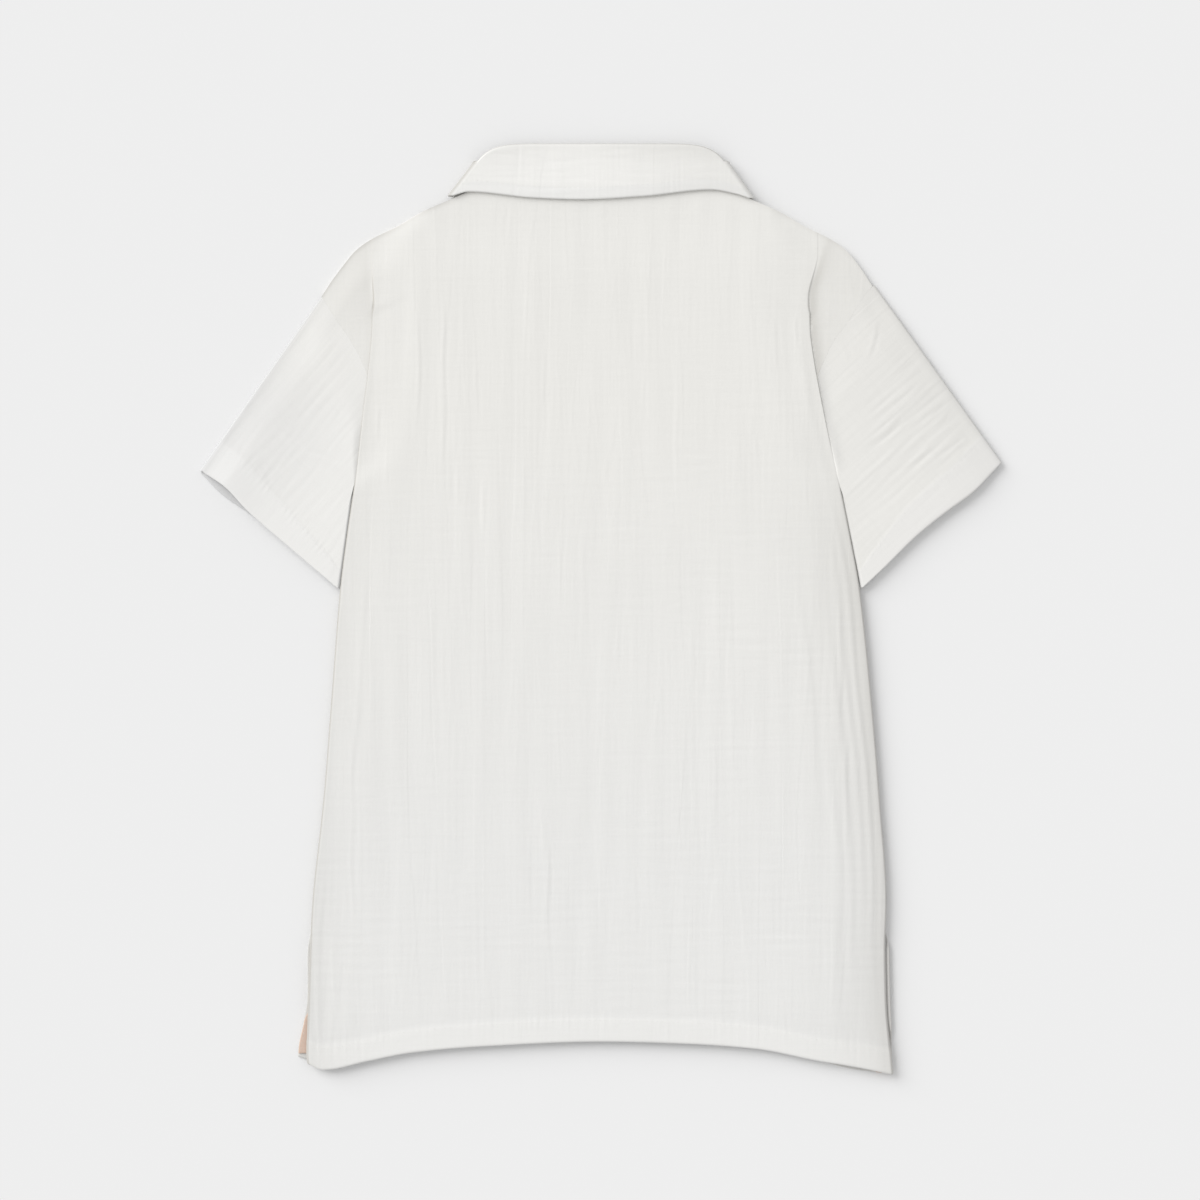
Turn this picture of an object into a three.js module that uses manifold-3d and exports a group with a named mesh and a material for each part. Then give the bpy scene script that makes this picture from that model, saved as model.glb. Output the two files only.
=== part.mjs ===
import * as THREE from "three";
import { mergeVertices } from "three/addons/utils/BufferGeometryUtils.js";
import Module from "manifold-3d";

// A child's short-sleeved polo shirt in crinkled double gauze, laid flat and face down.
// Sizes are in millimetres. +Z is up and +Y runs from the hem to the collar.
// The origin lies on the surface under the shirt, below the middle of its outline.
// In the tables, x columns named left and right are distances from the centre line.

const WALL = 1.2;
const SEAM_GAP = 0.3;
const SIDES = [
  { name: "left", sign: -1 },
  { name: "right", sign: 1 },
];

// Levels of the layers: middles of the walls above the surface.
const LOWER_MID = WALL / 2;
const UPPER_MID = LOWER_MID + WALL + SEAM_GAP;
const BACK_MID = 4.4;
const PLACKET_RISE = 0.7;
const COLLAR_LIFT = 1.8;

// Outline of the back: the fold at the armhole above the underarm, the side seam and vent below it.
const BACK_EDGE = [
  { y: 224, left: 138.5, right: 135 },
  { y: 205, left: 138.2, right: 129.5 },
  { y: 186, left: 137.3, right: 125.2 },
  { y: 168, left: 137.7, right: 125.6 },
  { y: 150, left: 139.2, right: 127.8 },
  { y: 116, left: 143.2, right: 134.2 },
  { y: 80, left: 147.2, right: 142 },
  { y: 43, left: 152.4, right: 149.4 },
  { y: 13, left: 156.2, right: 154.8 },
  { y: -54, left: 161.5, right: 162 },
  { y: -114, left: 166.3, right: 167 },
  { y: -174, left: 172.8, right: 171 },
  { y: -204, left: 174.4, right: 170.3 },
  { y: -236, left: 175.4, right: 170.9 },
  { y: -266, left: 176.2, right: 173.6 },
  { y: -280, left: 174, right: 175 },
];

// The back's armhole seam, as the distance that it lies outside the fold that covers it.
const BACK_SEAM_BEYOND = [
  { y: 200, left: 38, right: 41 },
  { y: 187.5, left: 30.1, right: 32 },
  { y: 173, left: 20.6, right: 23 },
  { y: 161, left: 11.8, right: 13.5 },
  { y: 148, left: 3.7, right: 5 },
  { y: 136, left: -1.5, right: -1 },
  { y: 116, left: -3.9, right: -4.2 },
  { y: 84, left: -3.6, right: -4 },
];

// The front's edge, as the distance that it lies outside the back's: vent, side seam and armhole.
const FRONT_BEYOND = [
  { y: -275, left: 6, right: 0.4 },
  { y: -263, left: 5.4, right: 1 },
  { y: -247, left: 2.6, right: 2.4 },
  { y: -232, left: 0.8, right: 2.6 },
  { y: -204, left: 1.5, right: 2.5 },
  { y: -190, left: -0.2, right: -0.2 },
  { y: 78, left: -0.2, right: -0.2 },
  { y: 84, left: 1.5, right: 1.5 },
  { y: 90, left: 2.6, right: 2.6 },
  { y: 120, left: 6.7, right: 6.7 },
  { y: 145, left: 13.4, right: 13.4 },
  { y: 168, left: 22.3, right: 22.3 },
  { y: 187.5, left: 29.7, right: 31.5 },
  { y: 200, left: 37, right: 40 },
];

// Top edge of both panels from the neck corner to the tip of the dropped shoulder.
const NECK_CORNER_X = 75;
const NECK_Y = 252;
const SHOULDER = [
  { x: NECK_CORNER_X, left: NECK_Y, right: NECK_Y },
  { x: 93.6, left: 243.9, right: 243.9 },
  { x: 107.4, left: 237.9, right: 237.9 },
  { x: 122, left: 229.5, right: 229.5 },
  { x: 138, left: 221.5, right: 221.5 },
  { x: 147, left: 215, right: 215 },
  { x: 154.5, left: 206, right: 206 },
  { x: 162, left: 195.9, right: 194.7 },
  { x: 167.4, left: 187.5, right: 187 },
];

const BACK_HEM = [
  { x: -176, y: -272 },
  { x: -166, y: -275.7 },
  { x: -139, y: -270.3 },
  { x: -113, y: -265.3 },
  { x: -73, y: -261.7 },
  { x: 0, y: -258.7 },
  { x: 53, y: -260.1 },
  { x: 93, y: -263.1 },
  { x: 129, y: -270.1 },
  { x: 155, y: -274.5 },
  { x: 175, y: -278.7 },
];

const FRONT_HEM = [
  { x: -182, y: -268 },
  { x: -166, y: -272 },
  { x: -139, y: -268 },
  { x: -73, y: -259.2 },
  { x: 0, y: -256.2 },
  { x: 73, y: -258.8 },
  { x: 113, y: -264.5 },
  { x: 129, y: -269.8 },
  { x: 150, y: -275.4 },
  { x: 168, y: -277.9 },
];

// How the back's edge turns: down, in under itself, and out again towards the armhole seam.
const FOLD_RADIUS = 0.8;
const FOLD_TUCK = 5;
const FOLD_STEPS = 4;
const FOLD_ROWS = [
  { y: 222, down: 0, back: 0, end: UPPER_MID },
  { y: 196, down: 175, back: 175, end: UPPER_MID },
  { y: 86, down: 175, back: 175, end: UPPER_MID },
  { y: 64, down: 90, back: 0, end: 1.55 },
  { y: -188, down: 90, back: 0, end: 1.55 },
  { y: -202, down: 50, back: 0, end: 3.4 },
];
const SHORTEST_STEP = 0.3;

const HEM_DEPTH = 15;
const HEM_RAISE = 0.35;
const BACK_COLUMNS = 36;
const BACK_SHARES = [
  0, 0.06, 0.11, 0.145, 0.21, 0.28, 0.35, 0.42, 0.49, 0.56, 0.62, 0.66, 0.685, 0.705, 0.725, 0.745, 0.77, 0.8, 0.83,
  0.86, 0.9, 0.94, 0.975, 1,
];
const SIDE_BLEND = 18;
const SHOULDER_ROLL = 12;
const SHOULDER_EASE = 0.6;
const CRINKLE_RAISE = 0.35;

// Half width of the front that lies on the collar leaf and the placket, and how it slopes off.
const LIFTED_HALF = [
  { y: 30, half: -18 },
  { y: 44, half: 15 },
  { y: 116, half: 16 },
  { y: 132, half: 62 },
  { y: 190, half: 80 },
  { y: 250, half: 106 },
];
const LIFT_SLOPE = 16;

const FRONT_NECK_DEPTH = 66;
const FRONT_NECK_END_X = 6;
const NECK_STEPS = 6;
const FRONT_SIDE_STEPS = 6;
const FRONT_SHARES = [
  0, 0.05, 0.11, 0.15, 0.24, 0.34, 0.44, 0.54, 0.63, 0.69, 0.715, 0.74, 0.77, 0.8, 0.83, 0.86, 0.9, 0.94, 0.97, 1,
];

const PLACKET_WIDTH = 24;
const PLACKET_BOTTOM = 58;
const PLACKET_TOP = 185.7;
const PLACKET_WALL = 1;
const BUTTON_RADIUS = 5.5;
const BUTTON_DEPTH = 1.5;
const BUTTON_HOLE_RADIUS = 0.8;
const BUTTON_HOLE_OFFSET = 1.5;
const BUTTON_YS = [174, 132, 90];

// Each sleeve: outer corner of the cuff, inner corner, tip of the shoulder seam, and the cuff's bends.
const SLEEVES = {
  left: {
    cuffOuter: [240.6, 83.1],
    cuffInner: [157, 12.6],
    tipY: 187.5,
    upperBends: [{ at: 0.16, width: 0.13, out: -2.4 }],
    lowerBends: [{ at: 0.16, width: 0.15, out: 2.2 }],
    cuffLift: { at: 0.2, width: 0.16, height: 1.4 },
  },
  right: {
    cuffOuter: [240.2, 87.9],
    cuffInner: [155.6, 12.9],
    tipY: 194.7,
    upperBends: [
      { at: 0.2, width: 0.14, out: 1.7 },
      { at: 0.6, width: 0.2, out: -1.5 },
    ],
    lowerBends: [
      { at: 0.2, width: 0.14, out: 1.9 },
      { at: 0.6, width: 0.2, out: -1.3 },
    ],
    cuffLift: { at: 0.5, width: 0.3, height: 0.3 },
  },
};
const CUFF_DEPTH = 18;
const UNDERARM_Y = 78;
const TURN_RADIUS = (UPPER_MID - LOWER_MID) / 2;
const TURN_ANGLES = [45, 0, -45];
const SLEEVE_RUN_STEPS = 12;
const SHOWN_GAP = 0.6;
const HIDDEN_GAP = 1.2;
const TIP_GAP = 1.4;
const SLEEVE_SHARES = [0.16, 0.27, 0.38, 0.49, 0.6, 0.71, 0.82, 0.91, 1];
const SLEEVE_PLATEAU = 1.1;
const SLEEVE_CREASE = 0.4;

const COLLAR_WALL = 1.5;
const COLLAR_MID = 3.55;
const LEAF_REACH = 2.8;
const STAND_REACH = 0.975;
const COLLAR_FOLD_RADIUS = (LEAF_REACH - STAND_REACH) / 2;
const COLLAR_FOLD_Y = 279;
const COLLAR_FOLD_FALL = 10.5;
const COLLAR_FOLD_END = 77.4;
const COLLAR_DROOP = 1.4;
const LEAF_BACK = [
  { x: -92.2, y: 247.5 },
  { x: -82, y: 249.9 },
  { x: -42.6, y: 246.3 },
  { x: -12.6, y: 245.3 },
  { x: 26.4, y: 247.2 },
  { x: 68.4, y: 251.1 },
  { x: 83.4, y: 248.7 },
  { x: 92.2, y: 246 },
];
const LEAF_SIDE_X = 92.2;
const COLLAR_POINT = [48, 150];
const FRONT_FOLD_FALL = 61.5;
const COLLAR_BACK_STEPS = 8;
const COLLAR_TURN_STEPS = 4;
const LEAF_BAND = 8;
const LEAF_BAND_RAISE = 0.3;

const FACING_WALL = 1;
const FACING_WIDTH = 8;
const FACING_INSET = 0.4;
const FACING_YS = [-208, -220, -232, -247, -258, -266];

const CLOTH_LOOK = { color: 0xecece8, roughness: 0.95, metalness: 0 };
const FACING_LOOK = { color: 0xf0c9b0, roughness: 0.95, metalness: 0 };
const BUTTON_LOOK = { color: 0xf2f0ea, roughness: 0.35, metalness: 0 };

const radians = THREE.MathUtils.degToRad;
const lerp = THREE.MathUtils.lerp;
const smooth = (t) => THREE.MathUtils.smoothstep(t, 0, 1);
const bump = (t) => Math.exp(-t * t);

/** A curve through one column of a table, read at another. It never overshoots and is flat past its ends. */
function curveOf(rows, at, value) {
  const sorted = [...rows].sort((a, b) => a[at] - b[at]);
  const places = sorted.map((row) => row[at]);
  const values = sorted.map((row) => row[value]);
  const last = places.length - 1;
  const grades = places.slice(1).map((place, k) => (values[k + 1] - values[k]) / (place - places[k]));
  const slopes = places.map((_, k) => {
    if (k === 0) return grades[0];
    if (k === last) return grades[last - 1];
    const both = grades[k - 1] * grades[k];
    return both <= 0 ? 0 : (2 * both) / (grades[k - 1] + grades[k]);
  });
  return (place) => {
    if (place <= places[0]) return values[0];
    if (place >= places[last]) return values[last];
    const k = places.findIndex((end, index) => index > 0 && place <= end) - 1;
    const width = places[k + 1] - places[k];
    const t = (place - places[k]) / width;
    const eased = t * t * (3 - 2 * t);
    const start = width * slopes[k] * t * (1 - t) * (1 - t);
    const end = width * slopes[k + 1] * t * t * (t - 1);
    return lerp(values[k], values[k + 1], eased) + start + end;
  };
}

const backEdge = {};
const backSeam = {};
const frontEdge = {};
const shoulder = {};
for (const { name } of SIDES) {
  const edge = curveOf(BACK_EDGE, "y", name);
  const seamBeyond = curveOf(BACK_SEAM_BEYOND, "y", name);
  const frontBeyond = curveOf(FRONT_BEYOND, "y", name);
  backEdge[name] = edge;
  backSeam[name] = (y) => edge(y) + seamBeyond(y);
  frontEdge[name] = (y) => edge(y) + frontBeyond(y);
  shoulder[name] = curveOf(SHOULDER, "x", name);
}
const backHem = curveOf(BACK_HEM, "x", "y");
const frontHem = curveOf(FRONT_HEM, "x", "y");
const liftedHalf = curveOf(LIFTED_HALF, "y", "half");
const leafBack = curveOf(LEAF_BACK, "x", "y");
const foldDown = curveOf(FOLD_ROWS, "y", "down");
const foldBack = curveOf(FOLD_ROWS, "y", "back");
const foldEnd = curveOf(FOLD_ROWS, "y", "end");

/** Share of the full lift at a point of the front, where the collar leaf or the placket lies under it. */
const liftShare = (x, y) => 1 - smooth((Math.abs(x) - liftedHalf(y)) / LIFT_SLOPE);

/** Top edge of the back: its neck seam, then the shoulder line. */
function backTop(x) {
  return shoulder[x < 0 ? "left" : "right"](Math.abs(x));
}

/** Top edge of the front: the scooped neck, then the same shoulder line. */
function frontTop(x) {
  const along = (Math.abs(x) - FRONT_NECK_END_X) / (NECK_CORNER_X - FRONT_NECK_END_X);
  if (along >= 1) return backTop(x);
  const inside = Math.max(along, 0);
  return NECK_Y - FRONT_NECK_DEPTH * Math.sqrt(1 - inside * inside);
}

/** Height up the panel of one row at x. A row is a share of the panel's length and an offset from it. */
const rowY = (row, hem, top, x) => hem(x) + row.share * (top(x) - hem(x)) + row.offset;

/** Where a row of a panel meets an edge curve: the y at which both agree, found by halving. */
function meet(row, hem, top, sign, edge) {
  let low = -290;
  let high = 200;
  while (high - low > 1e-4) {
    const middle = (low + high) / 2;
    if (rowY(row, hem, top, sign * edge(middle)) > middle) low = middle;
    else high = middle;
  }
  return low;
}

/** A closed wall between two grids of points, rows by columns. A loop joins its last column to its first. */
function clothWall(outer, inner, loop = false) {
  const rows = outer.length;
  const columns = outer[0].length;
  const points = [...outer.flat(), ...inner.flat()];
  const place = (i, j) => i * columns + (j % columns);
  const under = rows * columns;
  const faces = [];
  const quad = (a, b, c, d) => faces.push(a, b, c, a, c, d);
  const spans = loop ? columns : columns - 1;
  for (let i = 0; i < rows - 1; i += 1) {
    for (let j = 0; j < spans; j += 1) {
      const corners = [place(i, j), place(i, j + 1), place(i + 1, j + 1), place(i + 1, j)];
      quad(...corners);
      quad(...corners.map((corner) => corner + under).reverse());
    }
  }
  for (let j = 0; j < spans; j += 1) {
    quad(place(0, j), place(0, j) + under, place(0, j + 1) + under, place(0, j + 1));
    const top = rows - 1;
    quad(place(top, j + 1), place(top, j + 1) + under, place(top, j) + under, place(top, j));
  }
  for (let i = 0; i < rows - 1 && !loop; i += 1) {
    const end = columns - 1;
    quad(place(i, 0), place(i + 1, 0), place(i + 1, 0) + under, place(i, 0) + under);
    quad(place(i, end), place(i, end) + under, place(i + 1, end) + under, place(i + 1, end));
  }
  const geometry = new THREE.BufferGeometry().setFromPoints(points);
  geometry.setIndex(faces);
  return facedOut(geometry);
}

/** The same closed geometry with its faces turned to point out. */
function facedOut(geometry) {
  const position = geometry.getAttribute("position");
  const index = geometry.getIndex().array;
  const [a, b, c] = [new THREE.Vector3(), new THREE.Vector3(), new THREE.Vector3()];
  let volume = 0;
  for (let k = 0; k < index.length; k += 3) {
    a.fromBufferAttribute(position, index[k]);
    b.fromBufferAttribute(position, index[k + 1]);
    c.fromBufferAttribute(position, index[k + 2]);
    volume += a.dot(b.cross(c));
  }
  if (volume < 0) {
    for (let k = 0; k < index.length; k += 3) {
      [index[k], index[k + 1]] = [index[k + 1], index[k]];
    }
  }
  geometry.computeVertexNormals();
  return geometry;
}

/** The back's edge at one row: points of the wall's middle from the flat of the back out to its end. */
function sidePath(side, foldY, seamX) {
  const down = foldDown(foldY);
  const back = foldBack(foldY);
  const path = [{ u: 0, z: 0, heading: 0 }];
  let heading = 0;
  const walk = (length, turn) => {
    const from = path[path.length - 1];
    heading += turn / 2;
    const u = from.u + length * Math.cos(radians(heading));
    const z = from.z + length * Math.sin(radians(heading));
    heading += turn / 2;
    path.push({ u, z, heading });
  };
  const turn = (angle, sign) => {
    const step = Math.max(FOLD_RADIUS * radians(angle), SHORTEST_STEP) / FOLD_STEPS;
    for (let k = 0; k < FOLD_STEPS; k += 1) walk(step, (sign * angle) / FOLD_STEPS);
  };
  turn(down, -1);
  const tucked = Math.max(0, (down - 90) / 85);
  walk(SHORTEST_STEP + (FOLD_TUCK - SHORTEST_STEP) * tucked * tucked, 0);
  turn(back, 1);
  const outermost = Math.max(...path.map((point) => point.u));
  const shift = backEdge[side.name](foldY) - WALL / 2 - outermost;
  const start = path[path.length - 1];
  const reach = (seamX - (start.u + shift)) * Math.cos(radians(heading));
  const tail = Math.max(SHORTEST_STEP, reach);
  walk(tail / 2, 0);
  walk(tail / 2, 0);
  const rise = foldEnd(foldY) - path[path.length - 1].z;
  return path.map((point) => ({ u: point.u + shift, z: point.z + rise, heading: point.heading }));
}

/** Height of the back's middle away from its sides, over the placket and down to the shoulder seam. */
function backPlateau(x, y) {
  const overPlacket = smooth((32 - Math.abs(x)) / 16) * smooth((y - 36) / 16) * smooth((212 - y) / 16);
  const plateau = BACK_MID + PLACKET_RISE * overPlacket;
  if (Math.abs(x) < NECK_CORNER_X) return plateau;
  const inside = THREE.MathUtils.clamp((backTop(x) - y) / SHOULDER_ROLL, 0, 1);
  const edge = UPPER_MID + SHOULDER_EASE + COLLAR_LIFT * liftShare(x, y);
  const rolled = lerp(edge, plateau, Math.sqrt(1 - (1 - inside) ** 2));
  return lerp(plateau, rolled, smooth((Math.abs(x) - NECK_CORNER_X) / 12));
}

/** Rows of the back: the two edges of the hem band, shares of the length, then the shoulder roll. */
function backRows() {
  const low = HEM_DEPTH + 1.5;
  const rows = [0, HEM_DEPTH - 1].map((offset) => ({ share: 0, offset }));
  for (const share of BACK_SHARES) rows.push({ share, offset: lerp(low, -SHOULDER_ROLL, share) });
  return [...rows, ...[6, 2.5, 0].map((offset) => ({ share: 1, offset: -offset }))];
}

/** The back panel, with its crinkle, its hem band and the folds that cover the armhole seams. */
function backPanel() {
  const outer = [];
  const inner = [];
  backRows().forEach((row, i) => {
    const paths = SIDES.map((side) => {
      const foldY = meet(row, backHem, backTop, side.sign, backEdge[side.name]);
      const seamY = meet(row, backHem, backTop, side.sign, backSeam[side.name]);
      return sidePath(side, foldY, backSeam[side.name](seamY));
    });
    const [leftStart, rightStart] = paths.map((path) => path[0]);
    const inHem = row.share === 0;
    const sections = [];
    const edgePoints = (path, sign) =>
      path.slice(1).map(({ u, z, heading }) => ({
        x: sign * u,
        z,
        normal: [-sign * Math.sin(radians(heading)), Math.cos(radians(heading))],
        raise: inHem ? HEM_RAISE : 0,
      }));
    sections.push(...edgePoints(paths[0], -1).reverse());
    for (let c = 0; c <= BACK_COLUMNS; c += 1) {
      const x = lerp(-leftStart.u, rightStart.u, c / BACK_COLUMNS);
      const y = rowY(row, backHem, backTop, x);
      const start = x < 0 ? leftStart : rightStart;
      const z = lerp(start.z, backPlateau(x, y), smooth((start.u - Math.abs(x)) / SIDE_BLEND));
      const swell = 0.6 + 0.4 * Math.sin(1.9 * c + 0.8 * i);
      const crinkled = c % 2 === 1 && row.share > 0 && row.share < 1;
      const raise = inHem ? HEM_RAISE : crinkled ? CRINKLE_RAISE * swell : 0;
      sections.push({ x, z, normal: [0, 1], raise });
    }
    sections.push(...edgePoints(paths[1], 1));
    const at = ({ x, z, normal }, out) =>
      new THREE.Vector3(x + normal[0] * out, rowY(row, backHem, backTop, x), z + normal[1] * out);
    outer.push(sections.map((section) => at(section, WALL / 2 + section.raise)));
    inner.push(sections.map((section) => at(section, -WALL / 2)));
  });
  return clothWall(outer, inner);
}

/** The x of each column of the front at one row, from its left edge to its right. */
function frontColumns(row) {
  const halves = SIDES.map(({ name, sign }) => {
    const edge = frontEdge[name](meet(row, frontHem, frontTop, sign, frontEdge[name]));
    const half = [];
    for (let k = 0; k < FRONT_SIDE_STEPS; k += 1) half.push(lerp(edge, NECK_CORNER_X, k / FRONT_SIDE_STEPS));
    for (let k = 0; k <= NECK_STEPS; k += 1) {
      const turned = Math.cos(radians((90 * k) / NECK_STEPS));
      half.push(lerp(FRONT_NECK_END_X, NECK_CORNER_X, turned));
    }
    return half.map((x) => sign * x);
  });
  return [...halves[0], 0, ...halves[1].reverse()];
}

/** The front panel as a wall, before the placket's slot is cut. */
function frontPanel() {
  const layers = FRONT_SHARES.map((share) => {
    const row = { share, offset: 0 };
    return frontColumns(row).map((x) => {
      const y = rowY(row, frontHem, frontTop, x);
      return new THREE.Vector3(x, y, COLLAR_LIFT * liftShare(x, y));
    });
  });
  const raised = layers.map((layer) => layer.map((point) => point.clone().setZ(point.z + WALL)));
  return clothWall(raised, layers);
}

/** A flat piece with a plan outline, from one level up to another. */
function slab(shape, bottom, depth, curveSegments = 6) {
  const made = new THREE.ExtrudeGeometry(shape, { depth, bevelEnabled: false, curveSegments });
  return made.translate(0, 0, bottom);
}

/** A rectangle about the centre line as a shape. */
function strip(halfWidth, bottom, top) {
  return new THREE.Shape([
    new THREE.Vector2(-halfWidth, bottom),
    new THREE.Vector2(halfWidth, bottom),
    new THREE.Vector2(halfWidth, top),
    new THREE.Vector2(-halfWidth, top),
  ]);
}

/** A four-hole button's plan outline. */
function buttonShape(y) {
  const shape = new THREE.Shape().absarc(0, y, BUTTON_RADIUS, 0, 2 * Math.PI);
  for (const across of [-1, 1]) {
    for (const along of [-1, 1]) {
      const hole = new THREE.Path();
      const [x, holeY] = [across * BUTTON_HOLE_OFFSET, y + along * BUTTON_HOLE_OFFSET];
      shape.holes.push(hole.absarc(x, holeY, BUTTON_HOLE_RADIUS, 0, 2 * Math.PI, true));
    }
  }
  return shape;
}

/** The tape along one vent's edge of the front. */
function facingShape({ name, sign }) {
  const edgeX = (y) => frontEdge[name](y) - FACING_INSET;
  const outline = FACING_YS.map((y) => new THREE.Vector2(sign * edgeX(y), y));
  const inside = FACING_YS.map((y) => new THREE.Vector2(sign * (edgeX(y) - FACING_WIDTH), y));
  return new THREE.Shape([...outline, ...inside.reverse()]);
}

/** Sum of a cuff's bends at a share of its width. */
const bendSum = (bends, s) => bends.reduce((sum, { at, width, out }) => sum + out * bump((s - at) / width), 0);

/** One sleeve: a flat tube from its cuff to the armhole seams, open at both ends. */
function sleeve({ name, sign }) {
  const { cuffOuter, cuffInner, tipY, upperBends, lowerBends, cuffLift } = SLEEVES[name];
  const outerCorner = new THREE.Vector2(...cuffOuter);
  const innerCorner = new THREE.Vector2(...cuffInner);
  const tip = new THREE.Vector2(backSeam[name](tipY), tipY);
  const underarm = new THREE.Vector2(backEdge[name](UNDERARM_Y) + SHOWN_GAP, UNDERARM_Y);
  const inset = TURN_RADIUS + WALL / 2;
  // Each long edge: its direction down to the cuff, the way out of it, and the middle of its turn at each end.
  const edgeOf = (top, corner, way, gap) => {
    const along = corner.clone().sub(top).normalize();
    const out = new THREE.Vector2(-along.y, along.x).multiplyScalar(way);
    const [armhole, cuff] = [top, corner].map((point) => point.clone().addScaledVector(out, -inset));
    return { out, cuff, armhole: armhole.addScaledVector(along, gap) };
  };
  const outerEdge = edgeOf(tip, outerCorner, 1, TIP_GAP);
  const innerEdge = edgeOf(underarm, innerCorner, -1, 0);
  const across = innerCorner.clone().sub(outerCorner).normalize();
  const cuffOut = new THREE.Vector2(-across.y, across.x).multiplyScalar(across.x < 0 ? 1 : -1);
  const cuffAt = (s, bends) =>
    outerEdge.cuff.clone().lerp(innerEdge.cuff, s).addScaledVector(cuffOut, bendSum(bends, s));
  const armholeAt = (s, edge, gap) => {
    if (s === 0) return outerEdge.armhole.clone();
    const y = lerp(outerEdge.armhole.y, UNDERARM_Y, s);
    return new THREE.Vector2(edge(y) + gap, y).lerp(innerEdge.armhole, smooth((s - 0.9) / 0.1));
  };
  const upperArmhole = (s) => armholeAt(s, backSeam[name], lerp(SHOWN_GAP, HIDDEN_GAP, smooth(4 * s - 1)));
  const lowerArmhole = (s) => armholeAt(s, frontEdge[name], HIDDEN_GAP);
  const length = upperArmhole(0.5).distanceTo(cuffAt(0.5, []));
  const shares = [0, (CUFF_DEPTH - 1) / length, (CUFF_DEPTH + 1) / length];
  for (const share of SLEEVE_SHARES) shares.push(lerp(shares[2], 1, share));
  const upperZ = (s, t) => {
    const middle = smooth(6 * s) * smooth(6 * (1 - s)) * smooth(3 * (1 - t));
    const lift = cuffLift.height * bump((s - cuffLift.at) / cuffLift.width) * smooth(1 - 2.5 * t);
    return UPPER_MID + (SLEEVE_PLATEAU + lift) * middle;
  };
  const ringAt = (t, i) => {
    const ring = [];
    const band = i < 2 ? HEM_RAISE : 0;
    const creased = i > 2 && i % 2 === 1 && t < 0.85;
    const run = (s, upper) => {
      const from = cuffAt(s, upper ? upperBends : lowerBends);
      const plan = from.lerp(upper ? upperArmhole(s) : lowerArmhole(s), t);
      const crease = creased ? SLEEVE_CREASE * smooth(5 * s) * smooth(5 * (1 - s)) : 0;
      const z = upper ? upperZ(s, t) : LOWER_MID;
      ring.push({ plan, z, normal: [0, 0, upper ? 1 : -1], raise: upper ? band + crease : 0 });
    };
    const turn = ({ out, cuff, armhole }, angles) => {
      for (const angle of angles) {
        const [flat, rise] = [Math.cos(radians(angle)), Math.sin(radians(angle))];
        const plan = cuff.clone().lerp(armhole, t).addScaledVector(out, TURN_RADIUS * flat);
        const normal = [out.x * flat, out.y * flat, rise];
        ring.push({ plan, z: LOWER_MID + TURN_RADIUS * (1 + rise), normal, raise: 0 });
      }
    };
    for (let k = 0; k <= SLEEVE_RUN_STEPS; k += 1) run(k / SLEEVE_RUN_STEPS, true);
    turn(innerEdge, TURN_ANGLES);
    for (let k = SLEEVE_RUN_STEPS; k >= 0; k -= 1) run(k / SLEEVE_RUN_STEPS, false);
    turn(outerEdge, [...TURN_ANGLES].reverse());
    return ring;
  };
  const rings = shares.map(ringAt);
  const at = ({ plan, z, normal }, out) =>
    new THREE.Vector3(sign * (plan.x + normal[0] * out), plan.y + normal[1] * out, z + normal[2] * out);
  const outer = rings.map((ring) => ring.map((point) => at(point, WALL / 2 + point.raise)));
  const inner = rings.map((ring) => ring.map((point) => at(point, -WALL / 2)));
  return clothWall(outer, inner, true);
}

/** Places round the collar from one front end over the back to the other, as plan points and a facing. */
function collarPlaces() {
  const reach = LEAF_REACH + COLLAR_WALL / 2;
  const foldSide = COLLAR_FOLD_END - reach;
  const leafSide = LEAF_SIDE_X - reach;
  const standSide = NECK_CORNER_X - STAND_REACH - COLLAR_WALL / 2;
  const seamY = NECK_Y + SEAM_GAP;
  const foldY = (x) => COLLAR_FOLD_Y - COLLAR_FOLD_FALL * Math.abs(x / foldSide) ** 9;
  const halves = SIDES.map(({ sign }) => {
    const places = [];
    for (let k = 0; k <= NECK_STEPS; k += 1) {
      const angle = radians(90 - (90 * k) / NECK_STEPS);
      const along = k / NECK_STEPS;
      places.push({
        fold: [lerp(FRONT_NECK_END_X, foldSide, Math.cos(angle)), foldY(foldSide) - FRONT_FOLD_FALL * Math.sin(angle)],
        leaf: [lerp(COLLAR_POINT[0], leafSide, along), lerp(COLLAR_POINT[1], leafBack(sign * LEAF_SIDE_X), along)],
        stand: [lerp(FRONT_NECK_END_X, standSide, Math.cos(angle)), seamY - FRONT_NECK_DEPTH * Math.sin(angle)],
        facing: -90,
      });
    }
    const side = places[NECK_STEPS];
    for (let k = 1; k < COLLAR_TURN_STEPS; k += 1) {
      places.push({ ...side, facing: -90 + (180 * k) / COLLAR_TURN_STEPS });
    }
    for (let k = COLLAR_BACK_STEPS; k >= 0; k -= 1) {
      const share = k / COLLAR_BACK_STEPS;
      places.push({
        fold: [foldSide * share, foldY(foldSide * share)],
        leaf: [leafSide * share, leafBack(sign * LEAF_SIDE_X * share)],
        stand: [standSide * share, seamY],
        facing: 90,
      });
    }
    return places.map(({ fold, leaf, stand, facing }) => ({
      fold: new THREE.Vector2(sign * fold[0], fold[1]),
      leaf: new THREE.Vector2(sign * leaf[0], leaf[1]),
      stand: new THREE.Vector2(sign * stand[0], stand[1]),
      out: [sign * Math.cos(radians(facing)), Math.sin(radians(facing))],
    }));
  });
  return [...halves[0], ...halves[1].reverse().slice(1)];
}

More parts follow.
